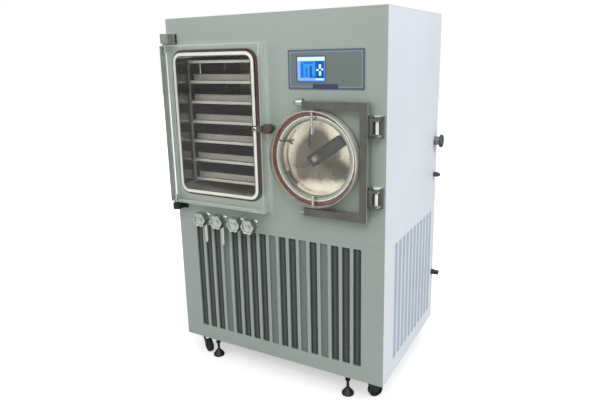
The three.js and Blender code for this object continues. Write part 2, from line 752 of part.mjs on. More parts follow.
// A strap bent round the free edge of the door, with an ear that holds the screw.
function latchStrap() {
  const sheet = latch.sheet;
  const inner = doorRight + GAP;
  const back = doorFront - GAP;
  const profile = [
    [doorRight - latch.tab, back - sheet],
    [inner + sheet, back - sheet],
    [inner + sheet, latchTab.front],
    [latchX + latch.ear, latchTab.front],
    [latchX + latch.ear, latchTab.back],
    [inner, latchTab.back],
    [inner, back],
    [doorRight - latch.tab, back],
  ];
  const low = latchZ - latch.height / 2;
  const hole = rod('y', latchScrew.hole, latchTab.front - 1, latchTab.back + 1);
  return cut(prism('top', low, low + latch.height, profile), moved(hole, latchX, 0, latchZ));
}

// A lobed hand knob and its screw, about the y axis.
function latchKnobForm() {
  const hubBack = latchTab.front - RUNNING;
  const knobBack = hubBack - latchKnob.hubLength;
  const tip = latchScrew.depth - latchBoss.length;
  const outline = lobed(latchKnob.radius, latchKnob.dip, latchKnob.lobes);
  return join(
    prism('front', knobBack - latchKnob.length, knobBack, outline, [], latchKnob.chamfer),
    rod('y', latchKnob.hub, knobBack - 1, hubBack),
    rod('y', latchScrew.radius, hubBack - 1, tip),
  );
}

function latchBossForm() {
  const floor = -latchBoss.floor;
  return join(
    turned('y', barrelSides, [
      [0, floor],
      [latchBoss.bore, floor],
      [latchBoss.bore, -latchBoss.length],
      [latchBoss.radius, -latchBoss.length],
      [latchBoss.radius, -GAP],
      [0, -GAP],
    ]),
  );
}

addPiece('drying_door', dryingDoor(), acrylic);
addPiece('door_hinge_upper', doorHingeBracket(doorHigh, 1, doorHingeHeight.upper), darkMetal);
addPiece('door_hinge_lower', doorHingeBracket(doorLow, -1, doorHingeHeight.lower), darkMetal);
addPiece('latch_strap', latchStrap(), stainless);
addPiece('latch_knob', latchKnobForm(), blackPlastic).position.set(latchX, 0, latchZ);
addPiece('latch_boss', latchBossForm(), chrome).position.set(latchX, 0, latchZ);

// ----------------------------------------------------------------------------------------------------
// The condenser. The pieces in its group are about the y axis of its vessel.

// A plate under the vessel whose top follows the vessel's curve.
function saddleOutline() {
  const spread = THREE.MathUtils.degToRad(saddle.spread);
  const down = -Math.PI / 2;
  const base = deckTop + GAP - condenserZ;
  const cradle = arc(0, 0, condenser.bore + condenser.wall / 2, down + spread, down - spread, 10);
  return [[-saddle.halfWidth, base], [saddle.halfWidth, base], ...cradle];
}

function condenserVessel() {
  const { bore, wall, depth } = condenser;
  const outer = bore + wall;
  const lipBack = vesselLip.length - vesselLip.proud;
  const shell = turned('y', roundSides, [
    [bore, -vesselLip.proud],
    [lipRadius, -vesselLip.proud],
    [lipRadius, lipBack],
    [outer, lipBack],
    [outer, depth],
    [outer / 2, depth + wall + condenser.dish],
    [0, depth + wall + condenser.dish],
    [0, depth + condenser.dish],
    [bore / 2, depth + condenser.dish],
    [bore, depth],
    [bore, ledge.y + ledge.thickness],
    [bore - ledge.height, ledge.y + ledge.thickness],
    [bore - ledge.height, ledge.y],
    [bore, ledge.y],
  ]);
  const saddles = saddle.ys.map((y) => prism('front', y, y + saddle.sheet, saddleOutline()));
  const side = halfWidth - condenser.x;
  const vacuumZ = above(vacuumPipe.above) - condenserZ;
  const vacuumEnd = side + vacuumPipe.proud;
  const vacuum = bentRod(
    [
      [0, depth + wall + 8, vacuumZ],
      [0, vacuumPipe.y, vacuumZ],
      [vacuumEnd - 1, vacuumPipe.y, vacuumZ],
    ],
    vacuumPipe.radius,
    vacuumPipe.bend,
  );
  const flange = rod('x', vacuumPipe.flange, vacuumEnd - vacuumPipe.flangeLength, vacuumEnd, shellSides);
  const drainZ = above(drainPipe.above) - condenserZ;
  const drain = bentRod(
    [
      [0, drainPipe.start, -bore - wall / 2],
      [0, drainPipe.start, drainZ],
      [0, drainPipe.y, drainZ],
      [side + drainPipe.proud, drainPipe.y, drainZ],
    ],
    drainPipe.radius,
    drainPipe.bend,
  );
  const union = rod('x', drainPipe.union, side + GAP, side + drainPipe.proud - 8, 6);
  return join(
    shell,
    ...saddles,
    vacuum,
    drain,
    moved(flange, 0, vacuumPipe.y, vacuumZ),
    moved(union, 0, drainPipe.y, drainZ),
  );
}

function condenserGasketForm() {
  return join(ring('y', lipRadius + GAP, lipRadius + discGasket.width, discBack + GAP, -GAP, roundSides));
}

// A spun dish: a rim that fits the vessel's bore, and a cone that rises towards the front to a flat crown.
function condenserBaffle() {
  const outer = condenser.bore - baffle.play;
  const back = ledge.y - GAP;
  const front = back - baffle.sheet;
  const inner = rimInner;
  const crown = front - baffle.rise;
  const hole = leverShaft.radius + RUNNING;
  return join(
    turned('y', roundSides, [
      [hole, crown],
      [baffle.crown, crown],
      [inner - baffle.flat, front],
      [inner, front],
      [inner, back - baffle.rim],
      [outer, back - baffle.rim],
      [outer, back],
      [inner - baffle.flat, back],
      [baffle.crown, crown + baffle.sheet],
      [hole, crown + baffle.sheet],
    ]),
  );
}

// A lever along +x with a pocket on each side of a rib in its face, and a bolt's head in the one at its pivot.
// Its shaft passes through the baffle's crown to a nut behind it.
function baffleLever() {
  const crown = ledge.y - GAP - baffle.sheet - baffle.rise;
  const hubBack = crown - RUNNING;
  const nutFront = crown + baffle.sheet + RUNNING;
  const barBack = hubBack - lever.chamfer;
  const barFront = barBack - lever.thickness;
  const outline = rounded(-lever.tail, -lever.width / 2, leverLength, lever.width / 2, lever.corner, 3);
  const pocketFloor = barFront + leverPocket.depth;
  const pocketHalf = lever.width / 2 - leverPocket.wall;
  const pocket = (from, to) =>
    prism('front', barFront - 1, pocketFloor, rounded(from, -pocketHalf, to, pocketHalf, leverPocket.corner, 2));
  const bar = cut(
    prism('front', barFront, barBack, outline, [], lever.chamfer),
    pocket(-lever.tail + leverPocket.wall, leverPocket.pivot),
    pocket(leverPocket.pivot + leverPocket.rib, leverLength - leverPocket.wall),
  );
  return join(
    bar,
    rod('y', leverShaft.head, pocketFloor - leverShaft.headProud, pocketFloor + 1, 6),
    rod('y', leverShaft.hub, barBack - 1, hubBack, barrelSides),
    rod('y', leverShaft.radius, hubBack - 1, nutFront + 1),
    rod('y', leverShaft.nut, nutFront, nutFront + leverShaft.nutLength, 6),
  );
}

function condenserDoor() {
  const radius = discRadius;
  const { chamfer } = disc;
  const plate = turned('y', roundSides, [
    [0, discFront],
    [radius - chamfer, discFront],
    [radius, discFront + chamfer],
    [radius, discBack - chamfer],
    [radius - chamfer, discBack],
    [0, discBack],
  ]);
  const bore = trunnion.radius + RUNNING;
  const upper = rod('z', bore, radius - trunnion.upper - 1, radius + 1);
  const lower = rod('z', bore, -radius - 1, -radius + trunnion.lower + 1);
  return cut(plate, moved(upper, 0, trunnionY, 0), moved(lower, 0, trunnionY, 0));
}

const condenserGroup = addGroup(condenser.x, 0, condenserZ);
addPiece('condenser_vessel', condenserVessel(), stainless, condenserGroup);
addPiece('condenser_gasket', condenserGasketForm(), redSilicone, condenserGroup);
addPiece('condenser_baffle', condenserBaffle(), polishedSteel, condenserGroup);
addPiece('baffle_lever', baffleLever(), blackPlastic, condenserGroup).rotation.y = THREE.MathUtils.degToRad(
  -lever.heading,
);
addPiece('condenser_door', condenserDoor(), acrylic, condenserGroup);

// ----------------------------------------------------------------------------------------------------
// The swinging frame that carries the disc, and its two hinge brackets.

// The parts of one frame hinge, from its low end up. The bracket has the ears, and the frame has the lugs.
function hingeHeights(lowAbove) {
  const low = above(lowAbove);
  const high = low + frameHinge.height;
  const innerLow = low + frameHinge.ear + RUNNING;
  const innerHigh = high - frameHinge.ear - RUNNING;
  return {
    low,
    high,
    innerLow,
    innerHigh,
    ears: [
      [low, low + frameHinge.ear],
      [high - frameHinge.ear, high],
    ],
    lugs: [
      [innerLow, innerLow + frameHinge.lugHeight],
      [innerHigh - frameHinge.lugHeight, innerHigh],
    ],
  };
}

// A channel on the frame's upright whose two lugs lie just inside the bracket's ears.
function frameLeaf(lowAbove) {
  const { innerLow, innerHigh, lugs } = hingeHeights(lowAbove);
  const [lowLug, highLug] = lugs;
  const half = frameHingePlate.leaf / 2;
  const root = swingRight - 2;
  const web = frameHingeX - frameHinge.barrel - 1;
  const channel = [
    [root, innerLow],
    [frameHingeX, innerLow],
    [frameHingeX, lowLug[1]],
    [web, lowLug[1]],
    [web, highLug[0]],
    [frameHingeX, highLug[0]],
    [frameHingeX, innerHigh],
    [root, innerHigh],
  ];
  return [
    prism('front', frameHinge.y - half, frameHinge.y + half, channel),
    ...lugs.map((span) => moved(rod('z', frameHinge.lug, ...span), frameHingeX, frameHinge.y, 0)),
  ];
}

// The rounded cap on the free end of an arm. "armZ" is the height of the arm's middle.
function armCapForm({ length, radius, up }, armZ) {
  const from = swingLeft - length;
  const cap = turned('x', barrelSides, [
    [0, from],
    [radius * capNose, from],
    [radius, from + radius],
    [radius, swingLeft + 1],
    [0, swingLeft + 1],
  ]);
  return moved(cap, 0, (swingFrame.front + swingBack) / 2, armZ + up);
}

function condenserFrame() {
  const { bar, front } = swingFrame;
  const [left, right] = [swingLeft, swingRight];
  const low = condenserZ - swingSpan;
  const high = condenserZ + swingSpan;
  const outline = [
    [left, low],
    [right, low],
    [right, high],
    [left, high],
    [left, high - bar],
    [right - bar, high - bar],
    [right - bar, low + bar],
    [left, low + bar],
  ];
  const upperPin = rod('z', trunnion.radius, condenserZ + discRadius - trunnion.upper, high - bar + 1);
  const lowerPin = rod('z', trunnion.radius, low + bar - 1, condenserZ - discRadius + trunnion.lower);
  const hingeHoles = Object.values(frameHingesAbove).map((lowAbove) => {
    const { innerLow, innerHigh } = hingeHeights(lowAbove);
    const hole = rod('z', frameHinge.pin + RUNNING, innerLow - 1, innerHigh + 1);
    return moved(hole, frameHingeX, frameHinge.y, 0);
  });
  const frame = join(
    prism('front', front, swingBack, outline, [], swingFrame.chamfer),
    moved(upperPin, condenser.x, trunnionY, 0),
    moved(lowerPin, condenser.x, trunnionY, 0),
    armCapForm(armCap.upper, high - bar / 2),
    armCapForm(armCap.lower, low + bar / 2),
    ...Object.values(frameHingesAbove).flatMap(frameLeaf),
  );
  return cut(frame, ...hingeHoles);
}

function frameHingeBracket(lowAbove) {
  const { low, high, ears } = hingeHeights(lowAbove);
  const { y, barrel } = frameHinge;
  const x = frameHingeX;
  const plateFront = -GAP - frameHingePlate.thickness;
  const plate = rectangle(x - frameHingePlate.left, plateFront, x + frameHingePlate.right, -GAP);
  const neck = rectangle(x - barrel, y, x + barrel, plateFront + 1);
  return join(
    prism('top', low, high, plate),
    ...ears.map((span) => prism('top', ...span, neck)),
    ...ears.map((span) => moved(rod('z', barrel, ...span, barrelSides), x, y, 0)),
    moved(rod('z', frameHinge.pin, low + 1, high - 1), x, y, 0),
  );
}

addPiece('condenser_frame', condenserFrame(), castMetal);
for (const [name, lowAbove] of Object.entries(frameHingesAbove)) {
  addPiece(`frame_hinge_${name}`, frameHingeBracket(lowAbove), darkMetal);
}

// ----------------------------------------------------------------------------------------------------
// The control panel, its screen, and the row of valves.

function screenOutline(inset) {
  const low = above(screen.above);
  return rectangle(
    screen.left + inset,
    low + inset,
    screen.left + screen.width - inset,
    low + screen.height - inset,
  );
}

function panelOutline(inset) {
  const low = above(panel.above);
  const right = panel.left + panel.width;
  const high = low + panel.height;
  return rounded(panel.left + inset, low + inset, right - inset, high - inset, panel.corner, 2);
}

function controlPanel() {
  const front = -GAP - panel.thickness;
  const face = prism('front', front + panel.recess, -GAP, panelOutline(0), [screenOutline(-GAP)]);
  const rim = prism('front', front, -GAP, panelOutline(0), [panelOutline(panel.rim)]);
  return join(face, rim);
}

function displayScreen() {
  const face = prism('front', -panel.thickness, -GAP, screenOutline(0));
  const body = prism('front', -GAP - 1, screen.depth, screenOutline(screen.step));
  return join(face, body);
}

// The valve bodies stand on one header pipe behind the front sheet. Each has a collar on the sheet's face.
function valveManifold() {
  const z = above(valve.above);
  const left = Math.min(...valve.xs) - header.past;
  const right = Math.max(...valve.xs) + header.past;
  const stemFront = valve.front - valveStem.length;
  const pieces = [moved(rod('x', header.radius, left, right), 0, header.y, z)];
  valve.xs.forEach((x, i) => {
    pieces.push(moved(rod('y', valve.body, valve.front, header.y), x, 0, z));
    pieces.push(moved(rod('y', valve.collar, -GAP - valve.collarLength, -GAP), x, 0, z));
    pieces.push(moved(rod('y', valveStem.radius, stemFront, valve.front + 1), x, 0, z));
    if (i >= spout.count) return;
    const end = z - spout.drop;
    pieces.push(moved(rod('z', spout.radius, end, z), x, spout.y, 0));
    pieces.push(moved(rod('z', spout.tip, end - spout.tipLength, end + 1), x, spout.y, 0));
  });
  return join(...pieces);
}

// A lobed grip on a boss, about the y axis, with a blind hole for the valve's stem.
function valveKnobForm() {
  const back = valve.front - RUNNING;
  const gripBack = back - valveKnob.bossLength;
  const front = gripBack - valveKnob.length;
  const outline = lobed(valveKnob.radius, valveKnob.dip, valveKnob.lobes);
  const grip = prism('front', front, gripBack, outline, [], valveKnob.chamfer);
  const holeEnd = valve.front - valveStem.length - RUNNING;
  return cut(
    join(grip, rod('y', valveKnob.boss, gripBack - 1, back)),
    rod('y', valveStem.radius + RUNNING, holeEnd, back + 1),
  );
}

addPiece('control_panel', controlPanel(), panelFace);
addPiece('display_screen', displayScreen(), displayGlass);
addPiece('valve_manifold', valveManifold(), chrome);
const knobForm = valveKnobForm();
valve.xs.forEach((x, i) => {
  addPiece(`valve_knob_${i + 1}`, knobForm, chrome).position.set(x, 0, above(valve.above));
});

// ----------------------------------------------------------------------------------------------------
// Refrigeration machinery on the base pan.

// A welded motor shell on a pedestal and a square plate, with a stub of its suction pipe.
function compressorForm() {
  const { radius, height, stand, plate, pipe, pipeReach, corner } = compressor;
  const [low, lowShoulder, highShoulder, high] = compressor.shell;
  const base = panTop + GAP;
  const shell = turned('z', shellSides, [
    [0, base + stand],
    [low, base + stand],
    [radius, base + stand + lowShoulder],
    [radius, base + height - highShoulder],
    [high, base + height],
    [0, base + height],
  ]);
  return join(
    shell,
    prism('top', base, base + plate, rounded(-radius, -radius, radius, radius, corner, 2)),
    rod('z', low, base + plate - 1, base + stand + 1, shellSides),
    moved(rod('x', pipe, radius / 2, radius + pipeReach), 0, 0, base + height / 2),
  );
}

// A finned block with its fins towards the front, and a round shroud and the fan's motor behind it.
function airCondenser() {
  const low = above(coil.above);
  const high = low + coil.height;
  const half = coil.width / 2;
  const coreFront = coil.y + coil.finDepth;
  const coreBack = coreFront + coil.core;
  const finPitch = coil.width / (2 * coil.fins - 1);
  const comb = [
    [half, coreBack],
    [-half, coreBack],
  ];
  for (let i = 0; i < coil.fins; i += 1) {
    const left = -half + 2 * i * finPitch;
    comb.push([left, coreFront], [left, coil.y], [left + finPitch, coil.y], [left + finPitch, coreFront]);
  }
  const legs = [-half, half - coil.leg].map((x) =>
    prism('front', coreFront, coreBack, rectangle(x, panTop + GAP, x + coil.leg, low + 1)),
  );
  const shroudOuter = shroud.radius + shroud.wall;
  const motorBack = coreBack + motor.length;
  const round = join(
    ring('y', shroud.radius, shroudOuter, coreBack - 1, coreBack + shroud.depth, shellSides),
    rod('y', motor.radius, coreBack - 1, motorBack, barrelSides),
    rod('y', fanShaft, motorBack - 1, motorBack + RUNNING + fan.hubLength),
  );
  return join(prism('top', low, high, comb), moved(round, 0, 0, (low + high) / 2), ...legs);
}

// A hub with pitched blades, about the y axis.
function fanForm() {
  const front = coil.y + coil.finDepth + coil.core + motor.length + RUNNING;
  const back = front + fan.hubLength;
  const hub = ring('y', fanShaft + RUNNING, fan.hub, front, back, barrelSides);
  const root = fan.hub - fan.hubOverlap;
  const blades = Array.from({ length: fan.blades }, (_, i) => {
    const vane = new THREE.BoxGeometry(fan.reach - root, fan.sheet, fan.width);
    vane.rotateX(THREE.MathUtils.degToRad(fan.pitch));
    vane.translate((fan.reach + root) / 2, (front + back) / 2, 0);
    vane.rotateY((2 * Math.PI * i) / fan.blades);
    return vane;
  });
  return join(hub, ...blades);
}

addPiece('compressor', compressorForm(), blackPaint).position.set(compressor.x, compressor.y, 0);
addPiece('air_condenser', airCondenser(), galvanised).position.set(coil.x, 0, 0);
const coilMiddle = above(coil.above) + coil.height / 2;
addPiece('condenser_fan', fanForm(), blackPlastic).position.set(coil.x, 0, coilMiddle);

// ----------------------------------------------------------------------------------------------------
// The origin goes on the floor, under the middle of the whole machine.

const freezeDryer = new THREE.Group();
freezeDryer.add(machine);
machine.updateMatrixWorld(true);
const middle = new THREE.Box3().setFromObject(machine, true).getCenter(new THREE.Vector3());
machine.position.set(-middle.x, -middle.y, 0);

export default freezeDryer;
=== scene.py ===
"""Looks for the freeze dryer: materials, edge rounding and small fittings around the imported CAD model, with a
studio floor, soft light and a camera at the photograph's angle. Lengths are in the machine's own millimetres:
x from the cabinet's middle, y from the face of its front sheets, and z from the floor."""

import json
import math

import bmesh
import bpy
from mathutils import Matrix, Vector

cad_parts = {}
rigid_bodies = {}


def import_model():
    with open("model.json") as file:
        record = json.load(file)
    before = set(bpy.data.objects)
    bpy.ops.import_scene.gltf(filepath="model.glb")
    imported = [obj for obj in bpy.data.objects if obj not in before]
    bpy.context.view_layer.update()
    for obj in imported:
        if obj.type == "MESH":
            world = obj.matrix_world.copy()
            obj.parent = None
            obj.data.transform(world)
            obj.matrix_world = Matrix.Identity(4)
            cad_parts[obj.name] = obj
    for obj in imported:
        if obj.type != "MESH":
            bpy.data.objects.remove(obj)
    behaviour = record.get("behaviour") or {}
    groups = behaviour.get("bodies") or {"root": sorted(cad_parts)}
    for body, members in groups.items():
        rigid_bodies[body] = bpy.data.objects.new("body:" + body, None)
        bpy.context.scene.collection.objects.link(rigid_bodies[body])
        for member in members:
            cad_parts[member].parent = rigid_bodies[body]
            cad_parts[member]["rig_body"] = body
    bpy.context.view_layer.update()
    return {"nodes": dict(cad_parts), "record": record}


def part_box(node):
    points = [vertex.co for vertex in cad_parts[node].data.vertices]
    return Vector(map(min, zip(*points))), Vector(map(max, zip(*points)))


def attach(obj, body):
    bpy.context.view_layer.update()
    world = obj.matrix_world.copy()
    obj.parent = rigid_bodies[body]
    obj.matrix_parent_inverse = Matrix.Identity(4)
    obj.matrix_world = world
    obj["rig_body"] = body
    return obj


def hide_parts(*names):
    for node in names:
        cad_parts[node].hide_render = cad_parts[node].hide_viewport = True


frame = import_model()
nodes = frame["nodes"]

MM = 0.001
front_low, front_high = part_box("front_panel")
ORIGIN = Vector(((front_low.x + front_high.x) / 2, front_low.y, 0))
CONDENSER = (219, 1008)  # x and z of the condenser's axis
DISH = 146.5  # the radius of the condenser's dish, the measure of the places on it
LEVER_HEADING = 35  # degrees from the x axis
MOUTH = (-438, -62, 830, 1400)  # the chamber's opening: left, right, low and high
MOUTH_CORNER = 24
SLOTS, SLOT_PITCH = 17, 48.5  # the front grille's
FIRST_SLOT = -405.0  # the first slot's left edge
PALE_SLOTS = (3, 8, 11, 13)  # those with a newer piece of mat behind them, counted from 0
SIDE_FACE = 500  # x of the side panels' outer faces
SLOT_FIELD = (100, 690, 150, 665)  # the side panels' louvres: front, rear, low and high
CORNERS = ("front_left", "front_right", "rear_left", "rear_right")


def at(x, y, z):
    """A place in the machine's own millimetres, as a point in the row frame."""
    return ORIGIN + Vector((x, y, z)) * MM


def machine(point):
    """A point in the row frame, as a place in the machine's own millimetres."""
    return (point - ORIGIN) / MM


def span(node):
    """A node's lowest and highest corners, in the machine's own millimetres."""
    return [machine(corner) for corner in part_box(node)]


def rides(node):
    return nodes[node]["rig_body"]


# ----------------------------------------------------------------------------------------------------
# Node graphs.


def srgb(r, g, b):
    """A screen colour from 0 to 255, as linear light."""
    def linear(v):
        v /= 255
        return v / 12.92 if v <= 0.04045 else ((v + 0.055) / 1.055) ** 2.4

    return (linear(r), linear(g), linear(b))


def shade(color, factor):
    return tuple(min(1.0, c * factor) for c in color)


def grey(value):
    return (value, value, value)


def math_node(tree, operation, a, b=0.0):
    """A Math node whose two inputs are each a socket or a number."""
    node = tree.nodes.new("ShaderNodeMath")
    node.operation = operation
    for socket, value in zip(node.inputs, (a, b)):
        if isinstance(value, bpy.types.NodeSocket):
            tree.links.new(value, socket)
        else:
            socket.default_value = value
    return node.outputs["Value"]


class Look:
    """A Principled material whose sockets are set or fed one by one."""

    def __init__(self, name, **values):
        self.mat = bpy.data.materials.new(name)
        self.mat.use_nodes = True
        self.tree = self.mat.node_tree
        self.shader = self.tree.nodes["Principled BSDF"]
        for key, value in values.items():
            self.shader.inputs[key.replace("_", " ")].default_value = value
        self.coords = self.add("TexCoord").outputs["Object"]

    def add(self, kind, values=None, **props):
        node = self.tree.nodes.new("ShaderNode" + kind)
        for key, value in props.items():
            setattr(node, key, value)
        for key, value in (values or {}).items():
            if isinstance(value, bpy.types.NodeSocket):
                self.tree.links.new(value, node.inputs[key])
            else:
                node.inputs[key].default_value = value
        return node

    def feed(self, name, output):
        self.tree.links.new(output, self.shader.inputs[name])

    def scaled(self, stretch):
        return self.add("Mapping", {"Vector": self.coords, "Scale": stretch}).outputs["Vector"]

    def noise(self, scale, detail=2.0, rough=0.5, stretch=None):
        vector = self.scaled(stretch) if stretch else self.coords
        values = {"Vector": vector, "Scale": scale, "Detail": detail, "Roughness": rough}
        return self.add("TexNoise", values).outputs["Fac"]

    def math(self, operation, a, b=0.0):
        return math_node(self.tree, operation, a, b)

    def hypot(self, *sides):
        squares = [self.math("MULTIPLY", side, side) for side in sides]
        return self.math("SQRT", self.math("ADD", *squares))

    def ramp(self, fac, stops, interpolation="LINEAR"):
        node = self.add("ValToRGB", {"Fac": fac})
        ramp = node.color_ramp
        ramp.interpolation = interpolation
        while len(ramp.elements) < len(stops):
            ramp.elements.new(0.5)
        for element, (place, color) in zip(ramp.elements, stops):
            element.position = place
            element.color = (*color, 1)
        return node.outputs["Color"]

    def mix(self, fac, a, b, blend="MIX"):
        node = self.add("Mix", {"Factor": fac}, data_type="RGBA", blend_type=blend)
        for socket, value in ((node.inputs[6], a), (node.inputs[7], b)):
            if isinstance(value, bpy.types.NodeSocket):
                self.tree.links.new(value, socket)
            else:
                socket.default_value = (*value, 1)
        return node.outputs[2]

    def times(self, a, b):
        return self.mix(1.0, a, b, "MULTIPLY")

    def range(self, fac, low, high, from_low=0.3, from_high=0.7):
        values = {"Value": fac, "From Min": from_low, "From Max": from_high, "To Min": low, "To Max": high}
        return self.add("MapRange", values).outputs["Result"]

    def bump(self, height, strength, distance):
        values = {"Height": height, "Strength": strength, "Distance": distance}
        self.feed("Normal", self.add("Bump", values).outputs["Normal"])

    def axis(self, name):
        return self.add("SeparateXYZ", {"Vector": self.coords}).outputs[name]

    def waves(self, axes, turns):
        """Sine waves along an axis, or their product along two axes, in radians to the metre."""
        waves = [self.math("SINE", self.math("MULTIPLY", self.axis(name), turns)) for name in axes]
        return self.math("MULTIPLY", *waves) if len(waves) == 2 else waves[0]

    def millimetres(self, name):
        """The machine's own x, y or z at each point, in millimetres."""
        offset = ORIGIN["XYZ".index(name)]
        return self.math("MULTIPLY", self.math("SUBTRACT", self.axis(name), offset), 1 / MM)

    def off(self, name, centre):
        """How far each point's x, y or z lies past a place on that axis, in millimetres."""
        return self.math("SUBTRACT", self.millimetres(name), centre)

    def radius(self, x, z):
        """The distance in millimetres from an axis along y."""
        return self.hypot(*[self.off(name, centre) for name, centre in (("X", x), ("Z", z))])


def blasted(look, tone):
    """Gives a lip its tone, with the fine grain of bead-blasted steel."""
    grain = look.noise(500, 3)
    speckle = look.ramp(grain, [(0.3, grey(0.9)), (0.7, grey(1.0))])
    look.feed("Base Color", look.times(tone, speckle))
    look.feed("Roughness", look.range(grain, 0.3, 0.45))
    look.bump(grain, 0.1, 0.0002)
    return look.mat


def chamber_lip():
    """The mouth's frame, with painted shade as a dark line round its inner edge, and darker again at its outer
    edge.
    """
    look = Look("chamber_lip", Metallic=0.8)
    left, right, low, high = MOUTH
    out = []
    for name, a, b in (("X", left, right), ("Z", low, high)):
        away = look.math("ABSOLUTE", look.off(name, (a + b) / 2))
        out.append(look.math("MAXIMUM", look.math("SUBTRACT", away, (b - a) / 2 - MOUTH_CORNER), 0.0))
    beyond = look.math("SUBTRACT", look.hypot(*out), MOUTH_CORNER)
    # Painted shade: the dark stops round the inner edge.
    tone = look.ramp(look.range(beyond, 0, 1, 0, 20), [
        (0.0, srgb(44, 46, 44)), (0.14, srgb(56, 58, 54)), (0.27, srgb(214, 218, 206)),
        (0.8, srgb(216, 218, 206)), (0.94, srgb(120, 112, 104))])
    return blasted(look, tone)


def condenser_lip():
    """The vessel's turned face: a step round the bore in shade, and a bright land out to the gasket."""
    look = Look("condenser_lip", Metallic=0.6)
    tone = look.ramp(look.range(look.radius(*CONDENSER), 0, 1, 150, 175), [
        (0.02, srgb(84, 86, 76)), (0.1, srgb(150, 155, 144)), (0.42, srgb(166, 170, 158)),
        (0.54, srgb(240, 236, 222)), (0.95, srgb(244, 240, 226))])
    return blasted(look, tone)


def pocket_floor():
    """The floors of the lever's two pockets. The small one round the bolt is paler, and both darken to
    their walls as painted shade."""
    look = Look("pocket_floor")
    heading = math.radians(LEVER_HEADING)
    cos, sin = math.cos(heading), math.sin(heading)
    x, z = look.off("X", CONDENSER[0]), look.off("Z", CONDENSER[1])
    along = look.math("ADD", look.math("MULTIPLY", x, cos), look.math("MULTIPLY", z, sin))
    across = look.math("SUBTRACT", look.math("MULTIPLY", z, cos), look.math("MULTIPLY", x, sin))
    # Painted shade: the floors go dark towards the pockets' side walls, and at their ends.
    inside = look.range(look.math("ABSOLUTE", across), 1, 0, 11, 17)
    dark, mid, pale = srgb(10, 10, 9), srgb(42, 48, 40), srgb(98, 104, 90)
    tone = look.ramp(look.range(along, 0, 1, -24, 144), [
        (0.03, dark), (0.08, pale), (0.25, pale), (0.3, dark), (0.34, dark), (0.38, mid), (0.92, mid),
        (0.98, dark)])
    grain = look.noise(900, 3, 0.6)
    mottle = look.ramp(grain, [(0.3, grey(0.85)), (0.7, grey(1.0))])
    look.feed("Base Color", look.times(look.mix(inside, dark, tone), mottle))
    look.feed("Roughness", look.range(grain, 0.42, 0.6))
    look.bump(grain, 0.2, 0.0002)
    return look.mat


def paint(name, color, rough=0.38, peel=0.12):
    """Powder coat: slow drifts of tone, fine speckle and a slight orange peel."""
    look = Look(name)
    broad = look.noise(2.6, 2)
    fine = look.noise(1400, 2, 0.6)
    tone = look.ramp(broad, [(0.3, shade(color, 0.965)), (0.7, shade(color, 1.03))])
    speckle = look.ramp(fine, [(0.35, grey(0.94)), (0.65, grey(1.0))])
    look.feed("Base Color", look.times(tone, speckle))
    look.feed("Roughness", look.range(look.noise(35, 3), rough - 0.05, rough + 0.07))
    look.bump(look.noise(420, 2), peel, 0.0003)
    return look.mat


def brushed(name, color, stretch, rough=(0.2, 0.38), anisotropic=0.55, metallic=1.0, painted_shade=None):
    """Sheet steel with a directional grain, and faint smears where it has been wiped. Given heights and tints,
    it also darkens downwards as painted shade.
    """
    look = Look(name, Metallic=metallic, Anisotropic=anisotropic)
    grain = look.noise(1.0, 4, 0.65, stretch)
    smear = look.noise(9, 3, 0.55)
    tone = look.ramp(grain, [(0.3, shade(color, 0.86)), (0.7, shade(color, 1.08))])
    stain = look.ramp(smear, [(0.35, (0.9, 0.89, 0.87)), (0.6, (1, 1, 1))])
    stained_and_shaded = look.times(tone, stain)
    # Painted shade: darker towards the bottom between the given heights.
    if painted_shade:
        low, high, shade_tints = painted_shade
        rise = look.range(look.millimetres("Z"), 0, 1, low, high)
        stained_and_shaded = look.times(stained_and_shaded, look.ramp(rise, shade_tints))
    look.feed("Base Color", stained_and_shaded)
    look.feed("Roughness", look.range(grain, *rough))
    look.bump(grain, 0.12, 0.0002)
    return look.mat


def plated(name, color, rough=0.1, wear=0.08):
    """Bright plate with faint smudges and small ripples from polishing."""
    look = Look(name, Metallic=1.0)
    smudge = look.noise(60, 4, 0.6)
    tone = look.ramp(smudge, [(0.3, shade(color, 0.9)), (0.65, color)])
    look.feed("Base Color", tone)
    look.feed("Roughness", look.range(smudge, rough, rough + wear))
    look.bump(look.noise(150, 2), 0.05, 0.0004)
    return look.mat


def enamel(name, color, rough=0.42, metallic=0.35):
    """Satin enamel over metal, with a fine metallic fleck."""
    look = Look(name, Metallic=metallic)
    fleck = look.add("TexVoronoi", {"Vector": look.coords, "Scale": 1600.0}).outputs["Color"]
    tone = look.ramp(look.noise(18, 3), [(0.3, shade(color, 0.85)), (0.7, shade(color, 1.15))])
    gleam = look.ramp(fleck, [(0.35, grey(0.9)), (0.8, grey(1.0))])
    look.feed("Base Color", look.times(tone, gleam))
    look.feed("Roughness", look.range(look.noise(70, 3), rough - 0.06, rough + 0.1))
    look.bump(look.noise(600, 2), 0.12, 0.0003)
    return look.mat


def moulded(name, color, rough=0.45):
    """Moulded plastic or rubber with a fine spark-eroded grain."""
    look = Look(name)
    grain = look.noise(1100, 3, 0.6)
    tone = look.ramp(look.noise(24, 2), [(0.3, shade(color, 0.85)), (0.7, shade(color, 1.2))])
    look.feed("Base Color", tone)
    look.feed("Roughness", look.range(grain, rough - 0.07, rough + 0.1))
    look.bump(grain, 0.2, 0.0002)
    return look.mat


def clear(name, tint, rough, haze=0.0, transmission=1.0, bend=1.1, coat=0.5):
    """Clear acrylic: faint waves in the polish, and a little roughness where it is only machined."""
    look = Look(name, Transmission_Weight=transmission, IOR=bend, Coat_Weight=coat, Coat_Roughness=rough)
    wave = look.noise(7, 2)
    look.feed("Base Color", look.ramp(wave, [(0.3, shade(tint, 0.985)), (0.7, tint)]))
    look.feed("Roughness", look.range(look.noise(300, 3), rough, rough + haze))
    look.bump(look.noise(40, 2), 0.004 + haze / 2, 0.0002)
    return look.mat


